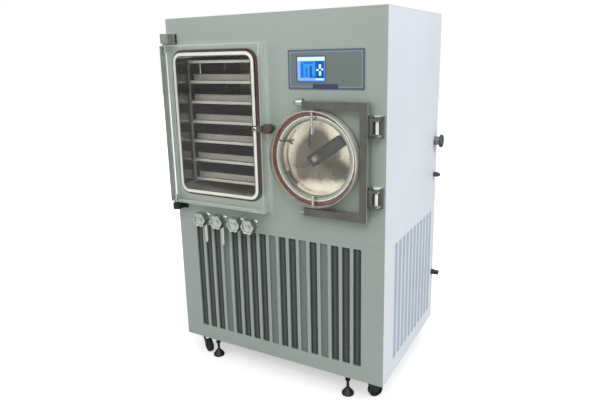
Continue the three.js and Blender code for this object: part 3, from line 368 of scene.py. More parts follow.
def silicone(name, color):
    """Soft seals with a dull, mottled skin."""
    look = Look(name, Specular_IOR_Level=0.4)
    mottled = look.ramp(look.noise(30, 3), [(0.3, shade(color, 0.8)), (0.7, shade(color, 1.2))])
    look.feed("Base Color", mottled)
    look.feed("Roughness", look.range(look.noise(500, 2), 0.42, 0.6))
    look.bump(look.noise(700, 2), 0.15, 0.0002)
    return look.mat


# Round the dish by degrees: how much further in the bright zone of painted reflection reaches, or less if it
# is negative, and how bright the painted highlight is.
HIGHLIGHT_REACH = (
    (-180, -0.05), (-150, -0.1), (-132, -0.2), (-112, 0.0), (-90, 0.04), (-55, 0.02), (-32, -0.3),
    (-14, -0.3), (4, 0.02), (45, 0.05), (62, 0.0), (88, -0.1), (110, 0.0), (140, 0.04), (180, -0.05),
)
PAINTED_HIGHLIGHT = (
    (-180, 0.84), (-130, 0.74), (-90, 0.96), (-45, 0.74), (-18, 0.36), (5, 0.7), (25, 0.9), (45, 0.96),
    (75, 0.88), (100, 0.64), (135, 0.86), (180, 0.84),
)


def spun_steel():
    """The dish is spun, so its grain runs in circles about its axis. Its outer part carries a painted
    highlight, brighter at some angles than at others, over a darker middle.
    """
    look = Look("spun_steel", Metallic=1.0, Anisotropic=0.8)
    tangent = look.add("Tangent", direction_type="RADIAL", axis="Y").outputs[0]
    look.feed("Tangent", tangent)
    radius = look.radius(*CONDENSER)
    values = {"W": radius, "Scale": 0.3, "Detail": 2.0}
    grooves = look.add("TexNoise", values, noise_dimensions="1D").outputs["Fac"]
    cloud = look.noise(11, 3, 0.55)
    wander = look.math("ADD", look.range(radius, 0, 1, 0, 150), look.range(cloud, -0.07, 0.07))
    angle = look.math("ARCTAN2", look.off("Z", CONDENSER[1]), look.off("X", CONDENSER[0]))
    turn = look.range(angle, 0, 1, -math.pi, math.pi)
    shift = look.ramp(turn, [((a + 180) / 360, grey(0.5 + v)) for a, v in HIGHLIGHT_REACH])
    moved = look.math("ADD", wander, look.math("SUBTRACT", shift, 0.5))
    # Painted reflection: dark in the middle and bright towards the rim, reaching in further at some angles.
    tone = look.ramp(moved, [
        (0.15, srgb(104, 97, 83)), (0.58, srgb(112, 104, 89)), (0.76, srgb(222, 210, 186)),
        (0.95, srgb(246, 236, 216))])
    # Painted highlight, stronger at some angles than at others.
    highlight_by_angle = look.ramp(turn, [((a + 180) / 360, grey(v)) for a, v in PAINTED_HIGHLIGHT])
    rings = look.ramp(grooves, [(0.3, grey(0.88)), (0.7, grey(1.0))])
    look.feed("Base Color", look.times(look.times(tone, rings), highlight_by_angle))
    look.feed("Roughness", look.range(cloud, 0.2, 0.34))
    look.bump(grooves, 0.05, 0.0002)
    return look.mat


def filter_mat():
    """A woven mat in dark threads. Each slot shows a pale strip of painted highlight, darker away from it, and
    some slots show a newer, paler piece.
    """
    look = Look("filter_mat", Specular_IOR_Level=0.25)
    x = look.millimetres("X")
    weave = look.waves("XZ", 2200.0)
    clump = look.noise(160, 3, 0.7)
    dark = look.ramp(clump, [(0.3, srgb(58, 63, 63)), (0.7, srgb(98, 105, 103))])
    phase = look.math("FRACT", look.math("DIVIDE", look.math("SUBTRACT", x, FIRST_SLOT), SLOT_PITCH))
    # Painted light across each slot: a pale highlight strip, darker away from it.
    slot_light = look.ramp(phase, [
        (0.0, grey(0.62)), (0.12, grey(0.75)), (0.3, grey(1.55)), (0.45, grey(0.8)), (0.7, grey(0.7))])
    slot_lit = look.times(dark, slot_light)
    along = look.range(x, 0, 1, FIRST_SLOT, FIRST_SLOT + SLOTS * SLOT_PITCH)
    stops = [(0.0, grey(0))]
    for slot in PALE_SLOTS:
        stops += [((slot - 0.1) / SLOTS, grey(1)), ((slot + 0.9) / SLOTS, grey(0))]
    newer = look.ramp(along, stops, "CONSTANT")
    pale = look.ramp(clump, [(0.3, srgb(118, 127, 123)), (0.7, srgb(146, 155, 150))])
    tone = look.mix(newer, slot_lit, pale)
    knots = look.ramp(look.range(weave, 0, 1, -1, 1), [(0.25, grey(0.7)), (0.75, grey(1.1))])
    look.feed("Base Color", look.times(tone, knots))
    look.feed("Roughness", look.range(clump, 0.6, 0.85))
    look.bump(weave, 0.6, 0.0008)
    return look.mat


def fin_stock():
    """Thin aluminium fins, as dark and pale lines."""
    look = Look("fin_stock", Metallic=1.0)
    lines = look.waves("X", 1800.0)
    tone = look.ramp(look.range(lines, 0, 1, -1, 1), [(0.2, srgb(90, 92, 94)), (0.8, srgb(170, 174, 176))])
    look.feed("Base Color", tone)
    look.feed("Roughness", look.range(look.noise(40, 3), 0.35, 0.55))
    return look.mat


def overlay(name, color):
    """A satin printed overlay, with a grain too fine to see as dots from afar."""
    look = Look(name, Specular_IOR_Level=0.4)
    tone = look.ramp(look.noise(900, 3), [(0.3, shade(color, 0.9)), (0.7, shade(color, 1.08))])
    look.feed("Base Color", tone)
    look.feed("Roughness", look.range(look.noise(60, 3), 0.4, 0.55))
    look.bump(look.noise(1500, 2), 0.1, 0.0001)
    return look.mat


def glow(name, color, strength):
    """A lit part of the display, with its dot pattern."""
    look = Look(name, Roughness=0.12, Emission_Strength=strength)
    pattern = look.range(look.waves("XZ", 2640.0), 0, 1, -1, 1)
    tone = look.ramp(pattern, [(0.2, shade(color, 0.86)), (0.8, shade(color, 1.08))])
    look.feed("Base Color", look.times(tone, (0.3, 0.3, 0.3)))
    look.feed("Emission Color", tone)
    return look.mat


# The upright steel darkens downwards as painted shade: the heights it drifts between, and its tint at shares of
# that rise.
UPRIGHT_PAINTED_SHADE = (850, 1400, [
    (0.1, (0.15, 0.19, 0.165)), (0.5, (0.22, 0.25, 0.23)), (0.66, (0.7, 0.68, 0.7)), (0.8, (1.0, 0.95, 1.0))])

front_paint = paint("front_paint", srgb(161, 171, 165))
side_paint = paint("side_paint", srgb(226, 232, 239), 0.36, 0.1)
# The louvre blades in the side slots: cooler and darker as painted shade.
slot_painted_shade = paint("slot_painted_shade", srgb(176, 189, 202), 0.4, 0.1)
steel_z = brushed("steel_upright", srgb(236, 238, 236), (900, 900, 14), metallic=0.1, painted_shade=UPRIGHT_PAINTED_SHADE)
steel_x = brushed("steel_across", srgb(186, 182, 174), (14, 900, 900), (0.3, 0.5))
tray_steel = brushed("tray_steel", srgb(142, 138, 131), (14, 900, 900), (0.3, 0.5))
# The chamber's side walls and the vessel's bore: a darker steel as painted shade.
shaded_steel_y = brushed("steel_deep_shaded", srgb(140, 137, 136), (700, 12, 700), (0.14, 0.26))
# The frame hinges' pins: near-white and barely metallic, a painted highlight standing in for the chrome's
# glint.
pin_highlight = brushed("pin_highlight", srgb(244, 244, 240), (90, 90, 90), (0.3, 0.45), 0.0, metallic=0.15)
chamber_lip_steel = chamber_lip()
condenser_lip_steel = condenser_lip()
galvanised = brushed("galvanised", srgb(150, 155, 158), (60, 60, 60), (0.35, 0.55), 0.0)
chrome = plated("chrome", srgb(205, 207, 206))
knob_chrome = plated("knob_chrome", srgb(222, 227, 220), 0.2)
knob_shade = plated("knob_shade", srgb(158, 164, 158), 0.36)
bright_screw = plated("bright_screw", srgb(200, 200, 196), 0.2, 0.1)
bronze_grey = enamel("bronze_grey", srgb(111, 111, 105), 0.36, 0.5)
hinge_grey = enamel("hinge_grey", srgb(110, 114, 110), 0.36, 0.5)
dark_hinge = enamel("dark_hinge", srgb(50, 54, 52), 0.36, 0.5)
hinge_highlight = enamel("hinge_highlight", srgb(160, 162, 152), 0.36, 0.5)
black_paint = enamel("black_paint", srgb(30, 31, 33), 0.4, 0.2)
port_grey = enamel("port_grey", srgb(84, 88, 90), 0.4, 0.6)
black_plastic = moulded("black_plastic", srgb(38, 36, 33))
brown_plastic = moulded("brown_plastic", srgb(76, 64, 56))
lever_black = moulded("lever_black", srgb(12, 12, 10), 0.5)
lever_floor = pocket_floor()
wheel_rubber = moulded("wheel_rubber", srgb(30, 30, 31), 0.55)
acrylic_face = clear("acrylic_face", (0.95, 0.965, 0.955), 0.0)
disc_face = clear("disc_face", (0.97, 0.985, 0.975), 0.0, bend=1.5, coat=0.0)
# The door's edges towards its hinges: darker, as painted shade.
acrylic_shade = clear("acrylic_shade", (0.34, 0.37, 0.33), 0.3, 0.15, 0.05)
acrylic_edge = clear("acrylic_edge", (0.64, 0.68, 0.62), 0.25, 0.15, 0.4)
red_silicone = silicone("red_silicone", srgb(66, 14, 18))
brown_silicone = silicone("brown_silicone", srgb(122, 56, 32))
dish_steel = spun_steel()
mat_fibre = filter_mat()
fins = fin_stock()
overlay_face = overlay("panel_face", srgb(110, 122, 119))
overlay_rim = overlay("panel_rim", srgb(88, 104, 118))
overlay_dark = overlay("panel_dark", srgb(92, 90, 96))
overlay_line = overlay("panel_line", srgb(128, 146, 162))
overlay_strip = overlay("panel_strip", srgb(62, 66, 110))
lamp_green = glow("lamp_green", srgb(84, 150, 112), 0.45)
screen_blue = glow("screen_blue", srgb(62, 158, 246), 0.75)
screen_sky = glow("screen_sky", srgb(208, 238, 255), 0.9)
screen_violet = glow("screen_violet", srgb(150, 176, 255), 0.85)
screen_mid = glow("screen_mid", srgb(36, 122, 220), 0.72)
screen_deep = glow("screen_deep", srgb(10, 92, 184), 0.7)

# ----------------------------------------------------------------------------------------------------
# Mesh pieces.

node_slot = {s["node"]: s["material_slot"] for s in frame["record"]["subparts"]}
SAME_PLACE = 2e-5  # metres
FLAT = math.radians(0.6)


def finish_mesh(obj, bevel=0.0, segments=2, angle=38):
    """Smooth shading up to an angle, and rounded edges past it, with flat faces kept flat."""
    mesh = obj.data
    for polygon in mesh.polygons:
        polygon.use_smooth = True
    mesh.set_sharp_from_angle(angle=math.radians(angle))
    if bevel:
        rounding = obj.modifiers.new("rounding", "BEVEL")
        rounding.width = bevel
        rounding.segments = segments
        rounding.limit_method = "ANGLE"
        rounding.angle_limit = math.radians(angle)
    weighting = obj.modifiers.new("flat_faces", "WEIGHTED_NORMAL")
    weighting.keep_sharp = True


def piece(name, mesh, looks, body, slot=None, bevel=0.0, angle=38, segments=2):
    """An object of one or several looks that rides on a body."""
    obj = bpy.data.objects.new(name, mesh)
    bpy.context.scene.collection.objects.link(obj)
    for mat in looks if isinstance(looks, (list, tuple)) else [looks]:
        mesh.materials.append(mat)
    finish_mesh(obj, bevel, segments, angle)
    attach(obj, body)
    return obj


def soften(node, looks, bevel=0.0008, angle=38, segments=2, pick=None):
    """A CAD node with its flat facets merged, its edges rounded and its curved faces smooth, in the node's
    place. With pick, each face takes the look whose number pick gives for its middle and normal."""
    source = nodes[node]
    mesh = source.data.copy()
    mesh.materials.clear()
    grid = bmesh.new()
    grid.from_mesh(mesh)
    bmesh.ops.remove_doubles(grid, verts=grid.verts, dist=SAME_PLACE)
    bmesh.ops.dissolve_limit(grid, angle_limit=FLAT, verts=grid.verts, edges=grid.edges)
    if pick:
        for face in grid.faces:
            face.material_index = pick(machine(face.calc_center_median()), face.normal)
    grid.to_mesh(mesh)
    grid.free()
    obj = piece("look_" + node, mesh, looks, source["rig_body"], node_slot.get(node), bevel, angle, segments)
    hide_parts(node)
    return obj


def mesh_from(name, grid):
    bmesh.ops.recalc_face_normals(grid, faces=grid.faces)
    mesh = bpy.data.meshes.new(name)
    grid.to_mesh(mesh)
    grid.free()
    return mesh


def lathe(name, profile, looks, body, centre, steps=72, **kw):
    """Turns a closed profile of (radius, y) in millimetres round an axis along y through centre."""
    grid = bmesh.new()
    rings = []
    for radius, along in profile:
        count = 1 if radius < 1e-6 else steps
        ring = []
        for i in range(count):
            a = 2 * math.pi * i / steps
            local = Vector((radius * math.cos(a), along, radius * math.sin(a)))
            ring.append(grid.verts.new(centre + local * MM))
        rings.append(ring)
    for a, b in zip(rings, rings[1:] + rings[:1]):
        for i in range(steps):
            j = (i + 1) % steps
            corners = [a[i % len(a)], a[j % len(a)], b[j % len(b)], b[i % len(b)]]
            unique = list(dict.fromkeys(corners))
            if len(unique) > 2:
                grid.faces.new(unique)
    return piece(name, mesh_from(name, grid), looks, body, **kw)


def prism(name, outline, from_y, to_y, looks, body, hole=None, **kw):
    """Carries an outline of (x, z) points in machine millimetres along y, with a hole of as many points."""
    grid = bmesh.new()
    loops = [outline] + ([hole] if hole else [])
    ends = [[[grid.verts.new(at(u, y, v)) for u, v in loop] for loop in loops] for y in (from_y, to_y)]
    for k, loop in enumerate(loops):
        n = len(loop)
        for i in range(n):
            j = (i + 1) % n
            grid.faces.new([ends[0][k][i], ends[0][k][j], ends[1][k][j], ends[1][k][i]])
    for end in ends:
        if hole:
            outer, inner = end
            for i in range(len(outer)):
                j = (i + 1) % len(outer)
                grid.faces.new([outer[i], outer[j], inner[j], inner[i]])
        else:
            grid.faces.new(end[0])
    return piece(name, mesh_from(name, grid), looks, body, **kw)


def rectangle(x0, z0, x1, z1):
    return [(x0, z0), (x1, z0), (x1, z1), (x0, z1)]


def rounded(x0, z0, x1, z1, radius, steps=6):
    """A rectangle's outline with arcs for corners."""
    points = []
    for cx, cz, start in ((x1 - radius, z0 + radius, -90), (x1 - radius, z1 - radius, 0),
                          (x0 + radius, z1 - radius, 90), (x0 + radius, z0 + radius, 180)):
        for i in range(steps + 1):
            a = math.radians(start + 90 * i / steps)
            points.append((cx + radius * math.cos(a), cz + radius * math.sin(a)))
    return points


def tube(name, points, radius, looks, body, slot=None, sides=12):
    """A round bar through points in machine millimetres."""
    grid = bmesh.new()
    places = [at(*point) for point in points]
    turns = [2 * math.pi * k / sides for k in range(sides)]
    rings = []
    for i, place in enumerate(places):
        ahead = (places[min(i + 1, len(places) - 1)] - places[max(i - 1, 0)]).normalized()
        side = ahead.orthogonal().normalized() if not rings else side
        side = (side - ahead * side.dot(ahead)).normalized()
        other = ahead.cross(side)
        ways = [side * math.cos(a) + other * math.sin(a) for a in turns]
        rings.append([grid.verts.new(place + way * radius * MM) for way in ways])
    for a, b in zip(rings, rings[1:]):
        for i in range(sides):
            j = (i + 1) % sides
            grid.faces.new([a[i], a[j], b[j], b[i]])
    grid.faces.new(rings[0])
    grid.faces.new(rings[-1])
    return piece(name, mesh_from(name, grid), looks, body, slot)


def near_axis(place, reach, **axis):
    """True where a place lies within reach of the line through the two coordinates given."""
    return math.hypot(*[getattr(place, name) - value for name, value in axis.items()]) < reach


def screw(name, centre, radius, looks, body, way=-1, height=None, slot="chrome"):
    """A domed screw head with a recess, standing from centre the given way along y."""
    h = height or radius * 0.6
    profile = [(0, 0), (radius, 0), (radius, 0.35 * h), (0.8 * radius, 0.8 * h), (0.5 * radius, h),
               (0.32 * radius, h), (0.3 * radius, 0.45 * h), (0, 0.4 * h)]
    turned = [(r, way * t) for r, t in profile]
    return lathe(name, turned, looks, body, centre, steps=24, slot=slot, angle=50)


# ----------------------------------------------------------------------------------------------------
# Cabinet sheets and the machinery behind them.

for node in ("front_panel", "front_grille"):
    soften(node, front_paint, 0.0006)
for node in ("rear_panel", "top_panel"):
    soften(node, side_paint, 0.0006)


def side_pick(place, normal):
    """The gland is black, and the louvre blades set back in the slots are a cooler, darker grey as painted
    shade.
    """
    front, rear, low, high = SLOT_FIELD
    if abs(place.x) > SIDE_FACE + 2:
        return 1
    set_back = abs(place.x) < SIDE_FACE - 1.5
    return 2 if set_back and low < place.z < high and front < place.y < rear else 0


for node in ("right_side_panel", "left_side_panel"):
    soften(node, [side_paint, black_plastic, slot_painted_shade], 0.0006, pick=side_pick)
soften("filter_mesh", mat_fibre, 0.0003)
soften("base_pan", galvanised, 0.0006)
soften("mid_deck", galvanised, 0.0006)
soften("air_condenser", [fins, galvanised], 0.0004, pick=lambda p, n: 1 if abs(n.x) > 0.5 else 0)
soften("condenser_fan", black_plastic, 0.0008)
soften("compressor", black_paint, 0.0015)

rear_low, rear_high = span("rear_panel")
SCREWS_A_SIDE = 6
END_SPACE, EDGE_SPACE = 60, 14  # from the rear panel's ends and from its long edges
SCREW_SEAT = 2.6  # how far a screw's base lies inside the panel's box
screw_pitch = (rear_high.z - rear_low.z - 2 * END_SPACE) / (SCREWS_A_SIDE - 1)
for i in range(SCREWS_A_SIDE):
    z = rear_low.z + END_SPACE + i * screw_pitch
    for side, x in (("left", rear_low.x + EDGE_SPACE), ("right", rear_high.x - EDGE_SPACE)):
        place = at(x, rear_high.y - SCREW_SEAT, z)
        screw(f"rear_screw_{side}_{i + 1}", place, 4.2, bright_screw, rides("rear_panel"), way=1)

for corner in CORNERS:
    soften(f"caster_fork_{corner}", black_paint, 0.0006)
    soften(f"caster_wheel_{corner}", wheel_rubber, 0.0008)
    soften(f"levelling_foot_{corner}", black_paint, 0.0008)

# ----------------------------------------------------------------------------------------------------
# Drying chamber.


def chamber_pick(place, normal):
    """The mouth's lip and the floor are bright, the side walls and the guides' fronts are darker as painted
    shade, and the roof and back are tinted and darken downwards as painted shade."""
    if place.y < 1:
        return 0
    if normal.z > 0.5:
        return 3
    guide_front = normal.y < -0.5 and place.y < 400
    return 1 if abs(normal.x) > 0.5 or guide_front else 2


soften("chamber_shell", [chamber_lip_steel, shaded_steel_y, steel_z, steel_x], 0.0008, pick=chamber_pick)
soften("chamber_gasket", red_silicone, 0.0016, segments=3)
for i in range(1, 8):
    soften(f"shelf_{i}", steel_x, 0.001)
for i in range(1, 7):
    soften(f"tray_{i}", tray_steel, 0.0005)

PROBE = (-384, 78)  # x and y of the temperature probe, which hangs from the top shelf into the top tray
probe_low, probe_high = span("tray_6")[0].z + 6, span("shelf_7")[0].z - 0.4
tube("probe", [(*PROBE, probe_low), (*PROBE, probe_high)], 3.2, chrome, rides("chamber_shell"), "chrome")


def acrylic_pick(place, normal):
    """The faces are polished, and the machined edges are frosted, and darker towards the hinges as painted
    shade.
    """
    if abs(normal.y) > 0.9:
        return 0
    return 2 if normal.x < -0.5 else 1


door_looks = [acrylic_face, acrylic_edge, acrylic_shade]
drying_door = soften("drying_door", door_looks, 0.0012, pick=acrylic_pick, segments=3)
drying_door.modifiers["rounding"].material = door_looks.index(acrylic_edge)


DOOR_PIN = {"x": -476, "y": -37}
DOOR_LEAF_HIGHLIGHT = (-494, -449)  # the part of the upper hinge's bracket that is pale as a painted highlight, from x to x


def door_hinge_pick(place, normal):
    """The pins are chrome, and the brackets are dark but for the upper one's leaf, which is pale as a painted
    highlight.
    """
    if near_axis(place, 7, **DOOR_PIN):
        return 1
    # Painted highlight on the upper hinge's leaf.
    pale = place.z >= CONDENSER[1] and DOOR_LEAF_HIGHLIGHT[0] <= place.x <= DOOR_LEAF_HIGHLIGHT[1]
    return 0 if pale else 2


for node in ("door_hinge_upper", "door_hinge_lower"):
    soften(node, [hinge_highlight, chrome, dark_hinge], 0.0008, pick=door_hinge_pick)
soften("latch_strap", tray_steel, 0.0006)
soften("latch_knob", brown_plastic, 0.0012)
soften("latch_boss", chrome, 0.0008)

strap_low = span("latch_strap")[0]
LATCH_Z = 1117
strap_body = rides("latch_strap")
pin_x = strap_low.x + 14
screw("latch_pin", at(pin_x, strap_low.y + 0.2, LATCH_Z), 9.5, bright_screw, strap_body, height=4)
# A black dome over the pin's recess, as painted shade in it.
screw("latch_pin_recess_shade", at(pin_x, strap_low.y - 3.0, LATCH_Z), 4.2, black_plastic, strap_body, height=2,
      slot="black_plastic")

# ----------------------------------------------------------------------------------------------------
# Condenser.


AXIS = {"x": CONDENSER[0], "z": CONDENSER[1]}
DISC_PIN = {"x": CONDENSER[0], "y": -32.5}
FRAME_PIN = {"x": 474, "y": -26}
FRAME_HEIGHTS = (820, 1196)  # the frame's low and high faces
UPRIGHT = 410  # the x at which the frame's upright begins
ARM_END = 179  # the x at which its arms' end caps begin


def vessel_pick(place, normal):
    """The lip, the bore, and the ports that come out through the right side panel."""
    if place.y < 0:
        return 0
    return 2 if place.x > SIDE_FACE - 20 else 1


lever_face = span("baffle_lever")[0].y
POCKET_FLOOR = -5  # the y behind which the pockets' floors lie
BOLT = (12, -3.3)  # the bolt's reach from the axis, and the y behind it


def lever_pick(place, normal):
    """The bolt is pale, and the pockets' floors are mottled and darken to their walls as painted shade."""
    reach, behind = BOLT
    if near_axis(place, reach, **AXIS) and lever_face + 0.5 < place.y < behind:
        return 2
    return 1 if normal.y < -0.9 and place.y > POCKET_FLOOR else 0


def frame_pick(place, normal):
    """The pins are bright and the end cap of the upper arm is plated. The tops of the bars and the upright's
    right side take the paler steel as a painted highlight."""
    low, high = FRAME_HEIGHTS
    if near_axis(place, 8, **DISC_PIN) and low - 4 < place.z < high + 4:
        return 1
    if place.x < ARM_END:
        return 1 if place.z > CONDENSER[1] else 2
    # Painted highlight: the tops and the upright's right side in paler steel.
    if normal.z > 0.9:
        return 2
    if place.x > UPRIGHT and low < place.z < high:
        return 2 if normal.x > 0.5 else 3
    return 0


soften("condenser_vessel", [condenser_lip_steel, shaded_steel_y, port_grey], 0.0008, angle=50, pick=vessel_pick)
soften("condenser_gasket", brown_silicone, 0.0015, segments=3)
soften("condenser_baffle", dish_steel, 0.0004)
soften("baffle_lever", [lever_black, lever_floor, knob_shade], 0.0008, pick=lever_pick)
soften("condenser_door", [disc_face, acrylic_edge, acrylic_edge], 0.0008, pick=acrylic_pick)
soften("condenser_frame", [bronze_grey, chrome, steel_x, hinge_grey], 0.001, pick=frame_pick)
for node in ("frame_hinge_upper", "frame_hinge_lower"):
    soften(node, [hinge_grey, pin_highlight], 0.0008, pick=lambda p, n: 1 if near_axis(p, 7, **FRAME_PIN) else 0)

DISH_FACE, DISH_FLAT = 10, 30  # the y of the dish's flat middle, and its radius
DISH_RUN, DISH_DROP = 108.5, 11.7  # the slope beyond it: how far out it runs, and how far back it goes
dish_body = rides("condenser_baffle")


def on_axis(u, y, v):
    """A place in machine millimetres, from one given in the dish's radii from its middle."""
    return (CONDENSER[0] + u * DISH, y, CONDENSER[1] + v * DISH)


def dish_surface(u, v):
    """The y of the dish's face at such a place."""
    return DISH_FACE + DISH_DROP * max(0.0, math.hypot(u, v) * DISH - DISH_FLAT) / DISH_RUN


def on_dish(name, points, radius):
    """A black wire that lies on the dish at each such place, or at the y that is given with it."""
    places = [on_axis(u, y[0] if y else dish_surface(u, v) - radius, v) for u, v, *y in points]
    tube(name, places, radius, lever_black, dish_body, "black_plastic")


on_dish("dish_clip_stem", [(-0.914, 0.41, -7.4), (-0.908, 0.41, 8.8), (-0.85, 0.40), (-0.69, 0.445)], 2.6)
on_dish("dish_clip_prong", [(-0.85, 0.40), (-0.73, 0.33)], 2.6)
on_dish("dish_clip_low", [(-0.88, -0.41), (-0.77, -0.59), (-0.62, -0.74)], 2.8)
on_dish("dish_clip_right", [(0.95, -0.2), (0.93, -0.33)], 2.2)
# A dark wire standing in for the upper pin's painted reflection in the dish.
on_dish("dish_pin_reflection", [(-0.205, 0.74), (-0.205, 0.53), (-0.205, 0.30)], 2.1)
clip_foot = []
for degrees, radius in ((157, 151), (155, 151), (155, 170), (157, 170)):
    turn = math.radians(degrees)
    clip_foot.append((CONDENSER[0] + math.cos(turn) * radius, CONDENSER[1] + math.sin(turn) * radius))
prism("dish_clip_foot", clip_foot, -9.4, -8.1, lever_black, dish_body, slot="black_plastic")
SCREW_PLACE = (0.65, 0.09)
screw_base = at(*on_axis(SCREW_PLACE[0], dish_surface(*SCREW_PLACE) + 0.2, SCREW_PLACE[1]))
screw("dish_screw", screw_base, 4.2, port_grey, dish_body, height=3)

# ----------------------------------------------------------------------------------------------------
# Control panel and valves.

panel_low, panel_high = span("control_panel")
screen_low, screen_high = span("display_screen")
soften("control_panel", overlay_rim, 0.0004)
soften("display_screen", screen_blue, 0.0004)


def inset(box, by):
    return (box[0] + by, box[1] + by, box[2] - by, box[3] - by)


# Boxes on the panel: left, low, right and high.
PANEL = (panel_low.x, panel_low.z, panel_high.x, panel_high.z)
SCREEN = (screen_low.x, screen_low.z, screen_high.x, screen_high.z)
FIELD = inset(PANEL, 11)
SCREEN_GAP = 1.2
WINDOW = (SCREEN[0] - SCREEN_GAP, SCREEN[1] - 1, SCREEN[2] + SCREEN_GAP, SCREEN[3] + 1)
STRIP = (208, 1273, 313, 1291)
LAMP = (334, 1306)
panel_face = panel_low.y
panel_body = rides("control_panel")


def on_panel(name, outline, look, lift, sink=0.0, hole=None):
    """A printed area that stands up from the panel's face by its lift."""
    prism(name, outline, panel_face - lift, panel_face + sink, look, panel_body, hole=hole, slot="panel_face")


on_panel("panel_line", rounded(*inset(PANEL, 7), 4), overlay_line, 0.15, 0.1, rounded(*FIELD, 3))
on_panel("screen_surround", rounded(*inset(SCREEN, -5), 2), overlay_dark, 0.25,
         hole=rounded(*inset(SCREEN, -SCREEN_GAP), 1))
for side, area in (
    ("right", (WINDOW[2], FIELD[1], FIELD[2], FIELD[3])),
    ("left", (FIELD[0], FIELD[1], WINDOW[0], FIELD[3])),
    ("below", (WINDOW[0], FIELD[1], WINDOW[2], WINDOW[1])),
    ("above", (WINDOW[0], WINDOW[3], WINDOW[2], FIELD[3])),
):
    on_panel("panel_field_" + side, rectangle(*area), overlay_face, 0.1, 0.1)
on_panel("panel_strip", rounded(*STRIP, 3), overlay_strip, 0.3)
lathe("panel_lamp", [(0, 0), (5, 0), (5, -0.8), (3, -1.6), (0, -1.9)], lamp_green, panel_body,
      at(LAMP[0], panel_face, LAMP[1]), slot="display")

SCREEN_PARTS = (  # a name, its look, and its box in shares of the screen from its upper left corner
    ("top_band", "sky", 0.0, 0.0, 1.0, 0.16),
    ("left_strip", "violet", 0.0, 0.16, 0.1, 0.95),
    ("bottom_strip", "violet", 0.1, 0.86, 0.64, 0.96),
    ("right_column", "deep", 0.66, 0.17, 0.97, 0.86),
    ("white_bar", "sky", 0.66, 0.87, 0.97, 0.95),
    ("stroke_1", "mid", 0.13, 0.26, 0.22, 0.84),
    ("stroke_2", "mid", 0.3, 0.42, 0.36, 0.8),
    ("stroke_3", "deep", 0.46, 0.36, 0.53, 0.84),
    ("stroke_foot", "mid", 0.53, 0.76, 0.64, 0.84),
    ("teal_row", "mid", 0.22, 0.2, 0.6, 0.28),
    ("cross_top", "sky", 0.79, 0.3, 0.87, 0.48),
    ("cross_left", "sky", 0.69, 0.49, 0.78, 0.57),
    ("cross_right", "sky", 0.87, 0.47, 0.95, 0.55),
    ("cross_low", "sky", 0.79, 0.58, 0.87, 0.76),
)
screen_looks = {"mid": screen_mid, "sky": screen_sky, "violet": screen_violet, "deep": screen_deep}
screen_wide, screen_tall = SCREEN[2] - SCREEN[0], SCREEN[3] - SCREEN[1]
for name, look_name, u0, v0, u1, v1 in SCREEN_PARTS:
    box = (SCREEN[0] + u0 * screen_wide, SCREEN[3] - v1 * screen_tall,
           SCREEN[0] + u1 * screen_wide, SCREEN[3] - v0 * screen_tall)
    lift = 0.3 if name.startswith(("stroke", "cross", "teal")) else 0.15  # the upper layer covers the lower
    prism("screen_" + name, rectangle(*box), screen_low.y - lift, screen_low.y + 0.1, screen_looks[look_name],
          rides("display_screen"), slot="display")

soften("valve_manifold", knob_chrome, 0.0008, angle=50)

LOBES, STEPS_A_LOBE = 6, 12
STEM, HOLE = 5.6, 28  # the blind hole for the valve's stem: its radius and depth
KNOB = (  # radius, distance ahead of the knob's back, and the depth of the dips between the lobes
    (0, HOLE, 0), (STEM, HOLE, 0), (STEM, 0, 0), (12, 0, 0), (12, 8, 0), (31, 8, 5), (34, 11, 5), (34, 37, 5),
    (32.8, 39.2, 5), (30.5, 40, 4.6), (25, 40, 1.2), (23, 39, 0), (22.4, 35.5, 0), (13, 35.5, 0),
    (12.4, 38.6, 0), (10.5, 39.6, 0), (0, 39.8, 0),
)
SHADED_BANDS = (5, 6, 7, 11, 13)  # the bands of that profile in the darker look: the rim and the grooves


def valve_knob(node):
    """A hand knob with round lobes, a sunk ring in its face and a cap at its middle."""
    low, high = span(node)
    middle = at((low.x + high.x) / 2, high.y, (low.z + high.z) / 2)
    grid = bmesh.new()
    rings = []
    steps = LOBES * STEPS_A_LOBE
    for radius, ahead, dip in KNOB:
        ring = []
        for i in range(steps if radius else 1):
            a = 2 * math.pi * i / steps
            r = radius - dip * (1 - math.cos(LOBES * a)) / 2
            local = Vector((r * math.cos(a), -ahead, r * math.sin(a)))
            ring.append(grid.verts.new(middle + local * MM))
        rings.append(ring)
    for number, (a, b) in enumerate(zip(rings, rings[1:])):
        for i in range(steps):
            j = (i + 1) % steps
            corners = [a[i % len(a)], a[j % len(a)], b[j % len(b)], b[i % len(b)]]
            face = grid.faces.new(list(dict.fromkeys(corners)))
            face.material_index = 1 if number in SHADED_BANDS else 0
    mesh = mesh_from("look_" + node, grid)
    obj = piece("look_" + node, mesh, [knob_chrome, knob_shade], rides(node), "chrome")
    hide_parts(node)


for i in range(1, 5):
    valve_knob(f"valve_knob_{i}")

# ----------------------------------------------------------------------------------------------------
# Floor, light and camera.


def view_rays(tree, *names):
    """One where any of the named Light Path outputs is set."""
    path = tree.nodes.new("ShaderNodeLightPath")
    total = path.outputs[names[0]]
    for name in names[1:]:
        total = math_node(tree, "MAXIMUM", total, path.outputs[name])
    return total


WHITENING = (1.0, 3.6)  # metres from the machine's middle, over which the floor goes over to white
DIFFUSE_SKY, HORIZON = 0.49, 0.22  # the sky's strength on the object, and in mirrors at the horizon


